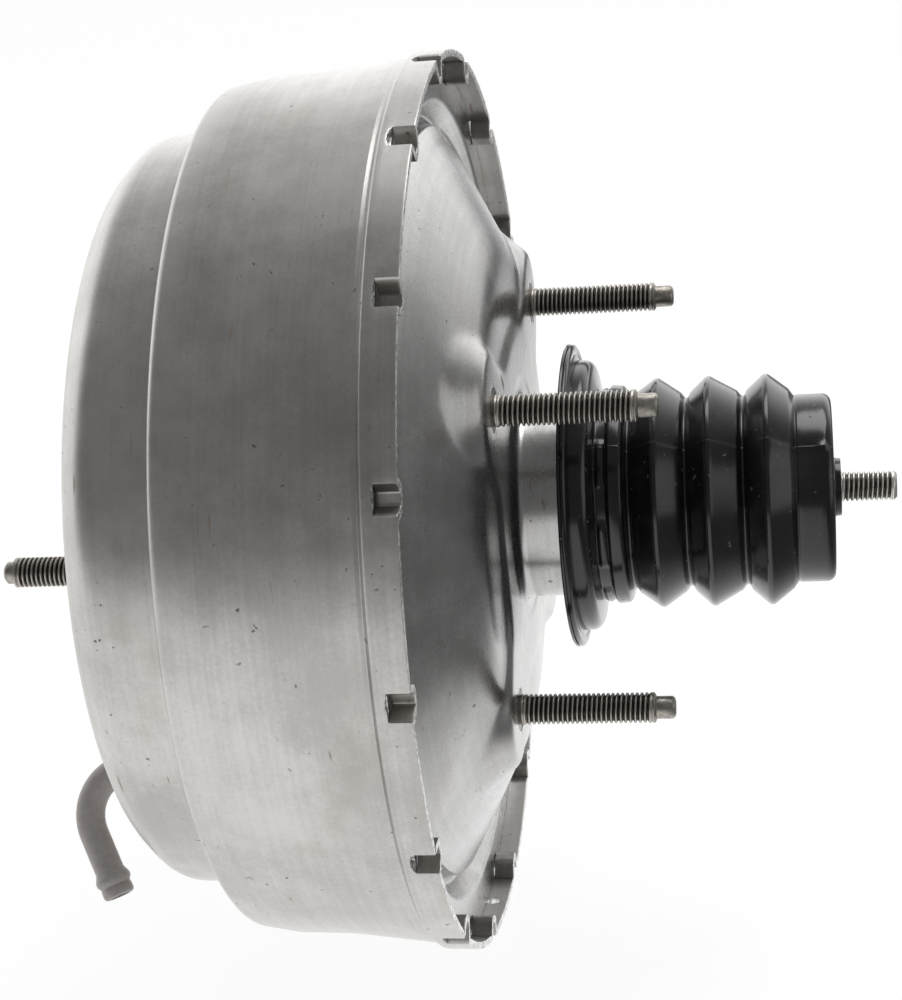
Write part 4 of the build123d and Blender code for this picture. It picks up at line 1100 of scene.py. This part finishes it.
# %% The collar
(foot_x, foot_r), (end_x, end_r) = front_corners[3:5]
cone_slope = (end_x - foot_x) / (end_r - foot_r)
seat_point = (foot_x + cone_slope * (nipple_radius - foot_r)) * axis + nipple_radius * out
normal = cone_slope * out - axis
normal /= np.linalg.norm(normal)
cross = np.cross(bend_side, normal)
collar_line = [(-1.0, 3.9), (-1.0, 7.2), (0.0, 7.0), (0.35, 6.5), (0.8, 6.25), (2.0, 6.1), (2.35, 5.6)]
collar_line += [(2.5, 4.7), (2.9, 4.15), (3.3, 3.9)]
round_seat = [cross * cos(a) + bend_side * sin(a) for a in ring]
rows = np.array([[seat_point + h * normal + r * way for way in round_seat] for h, r in collar_line])
collar_faces = quads(len(rows), len(ring), loop=True)
collar = piece("nipple_collar", rows.reshape(-1, 3), collar_faces, nipple_steel)
for made in (tube, collar):
    mesh = made.data
    volume = sum(face.area * face.normal.dot(face.center - Vector(seat_point * MM)) for face in mesh.polygons)
    if volume < 0:
        mesh.flip_normals()
    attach(made, "housing")
    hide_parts("vacuum_nipple")
print("collar:", len(collar.data.polygons), "faces")

# %% [markdown]
# ## Springs with Geometry Nodes
# Each coil spring is a spiral with a round section. One tree makes all three from their own sizes. A spring
# has one end on each of two bodies.

# %% The coil tree
coil_steps, wire_facets = 40, 10
coil, size = new_tree("wind_spring", ["From", "Length", "Start radius", "End radius", "Turns", "Wire"])
spiral = {"Resolution": coil_steps, "Rotations": size["Turns"], "Height": size["Length"]}
spiral |= {"Start Radius": size["Start radius"], "End Radius": size["End radius"]}
wound = coil.add("GeometryNodeCurveSpiral", None, spiral)
round_wire = {"Resolution": wire_facets, "Radius": size["Wire"]}
wire = coil.add("GeometryNodeCurvePrimitiveCircle", {"mode": "RADIUS"}, round_wire)
swept = {"Curve": wound, "Profile Curve": wire, "Fill Caps": True}
rod_like = coil.add("GeometryNodeCurveToMesh", None, swept)
offset = coil.vector(size["From"])
along_x = {"Geometry": rod_like, "Translation": offset, "Rotation": (0.0, pi / 2, 0.0)}
laid = coil.add("GeometryNodeTransform", None, along_x)
smooth = coil.add("GeometryNodeSetShadeSmooth", None, {"Geometry": laid})
end_tree(coil, smooth, spring_wire)
print("wind_spring:", len(coil.tree.nodes), "nodes")


# %% The springs
def spring(name, node, wire, radii, turns):
    """A coil in place of a CAD spring, between the ends of its box."""
    low, high = [corner[0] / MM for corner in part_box(node)]
    made = show(name, bpy.data.meshes.new(name))
    sizes = {"From": low + wire, "Length": high - low - 2 * wire, "Wire": wire}
    sizes |= {"Start radius": radii[0], "End radius": radii[1]}
    grow(made, coil, Turns=turns, **{key: value * MM for key, value in sizes.items()})
    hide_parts(node)
    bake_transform(made)
    print(name + ":", len(made.data.polygons), "faces")


spring("return_spring_coil", "return_spring", 1.6, (26.0, 20.65), 5.5)
spring("poppet_spring_coil", "poppet_spring", 0.5, (11.5, 11.5), 3.0)
spring("rod_spring_coil", "rod_return_spring", 0.75, (11.8, 11.8), 4.5)

# %% [markdown]
# ## The diaphragms
# Each diaphragm is a thin rubber sheet with a bead at its rim, clamped in the housing, and a web on the
# piston's plate. Between them it rolls. The tip of the roll moves half as far as the piston, so the sheet is
# made in two pieces that meet there.

# %% Rolling sheets
sheet_gauge, bead_width, bead_steps = 1.8, 3.0, 120


def roll_half(name, node, line, bends, far_x, bead=None):
    """Half of a rolling sheet, turned round the axis, with a bead at far_x when one is given."""
    skin = spaced(rounded(line, bends), 3.0)
    made = lathe(name, np.vstack([skin, inset(skin, sheet_gauge)[::-1]]), matt_rubber, bead_steps)
    if bead:
        x, (low_r, high_r) = far_x, bead
        corners = [(x, low_r), (x, high_r), (x + bead_width, high_r), (x + bead_width, low_r)]
        join(made, [made, lathe("bead", corners, matt_rubber, bead_steps)])
    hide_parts(node)
    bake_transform(made)
    print(name + ":", len(made.data.polygons), "faces")


# %% The front diaphragm
web_x, tip_x, bead_x = -60.2, -80.0, -69.3
bore, outside, middle = 87.5, 99.5, 93.5
web = [(web_x, 27.1), (web_x, bore), (tip_x, bore), (tip_x, middle)]
wall = [(tip_x, middle), (tip_x, outside), (bead_x, outside), (bead_x, 109.0)]
roll_half("front_diaphragm_web", "front_diaphragm", web, [2.0, 4.5], web_x)
roll_half("front_diaphragm_rim", "front_diaphragm", wall, [4.5, 1.5], bead_x, (102.5, 109.0))

# %% The rear diaphragm
web_x, tip_x, bead_x = -15.7, -42.0, -23.2
plate_drop = 8.5
bore, outside, middle = 98.65, 112.5, 105.575
web = [(web_x, 23.1), (web_x, 64.0), (web_x - plate_drop, bore), (tip_x, bore), (tip_x, middle)]
wall = [(tip_x, middle), (tip_x, outside), (bead_x, outside), (bead_x, flange_radius - 0.1)]
roll_half("rear_diaphragm_web", "rear_diaphragm", web, [8.0, 1.5, 5.0], web_x - plate_drop)
roll_half("rear_diaphragm_rim", "rear_diaphragm", wall, [5.0, 1.0], bead_x, (113.5, 118.4))

# %% [markdown]
# ## The poppet and the pieces that stay as CAD
# The poppet valve is soft too. Its shape is already right, so a merged copy of it with smooth shading stands
# in for it. Every other piece keeps its CAD mesh and gets the finish that its material has.

# %% The poppet valve
poppet = show("poppet_rubber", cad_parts["poppet_valve"].data.copy())
modify(poppet, "WELD", merge_threshold=1e-6)
settle(poppet)
soften(poppet.data, 40.0)
poppet.data.materials.clear()
poppet.data.materials.append(matt_rubber)
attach(poppet, "power_piston")
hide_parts("poppet_valve")
print("poppet:", len(poppet.data.polygons), "faces")

# %% Finishes of the pieces that stay
wearing = {
    plate_steel: ["centre_plate", "backing_plate", "spring_guide", "front_plate", "rear_plate", "stop_key"],
    plain_zinc: ["front_plate_nut", "rear_plate_nut", "output_rod", "output_adjuster", "rod_spring_seat"],
    spring_wire: ["rod_retainer", "poppet_retainer"],
    resin: ["valve_body"],
    nylon: ["guide_ring", "body_bearing", "plunger"],
    felt: ["silencer", "air_filter"],
    matt_rubber: ["centre_seal", "output_rod_seal", "body_seal", "reaction_disc", "plunger_seal"],
}
for material, nodes in wearing.items():
    for node in nodes:
        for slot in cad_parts[node].material_slots:
            slot.material = material
print("CAD pieces with a finish:", sum(len(nodes) for nodes in wearing.values()))
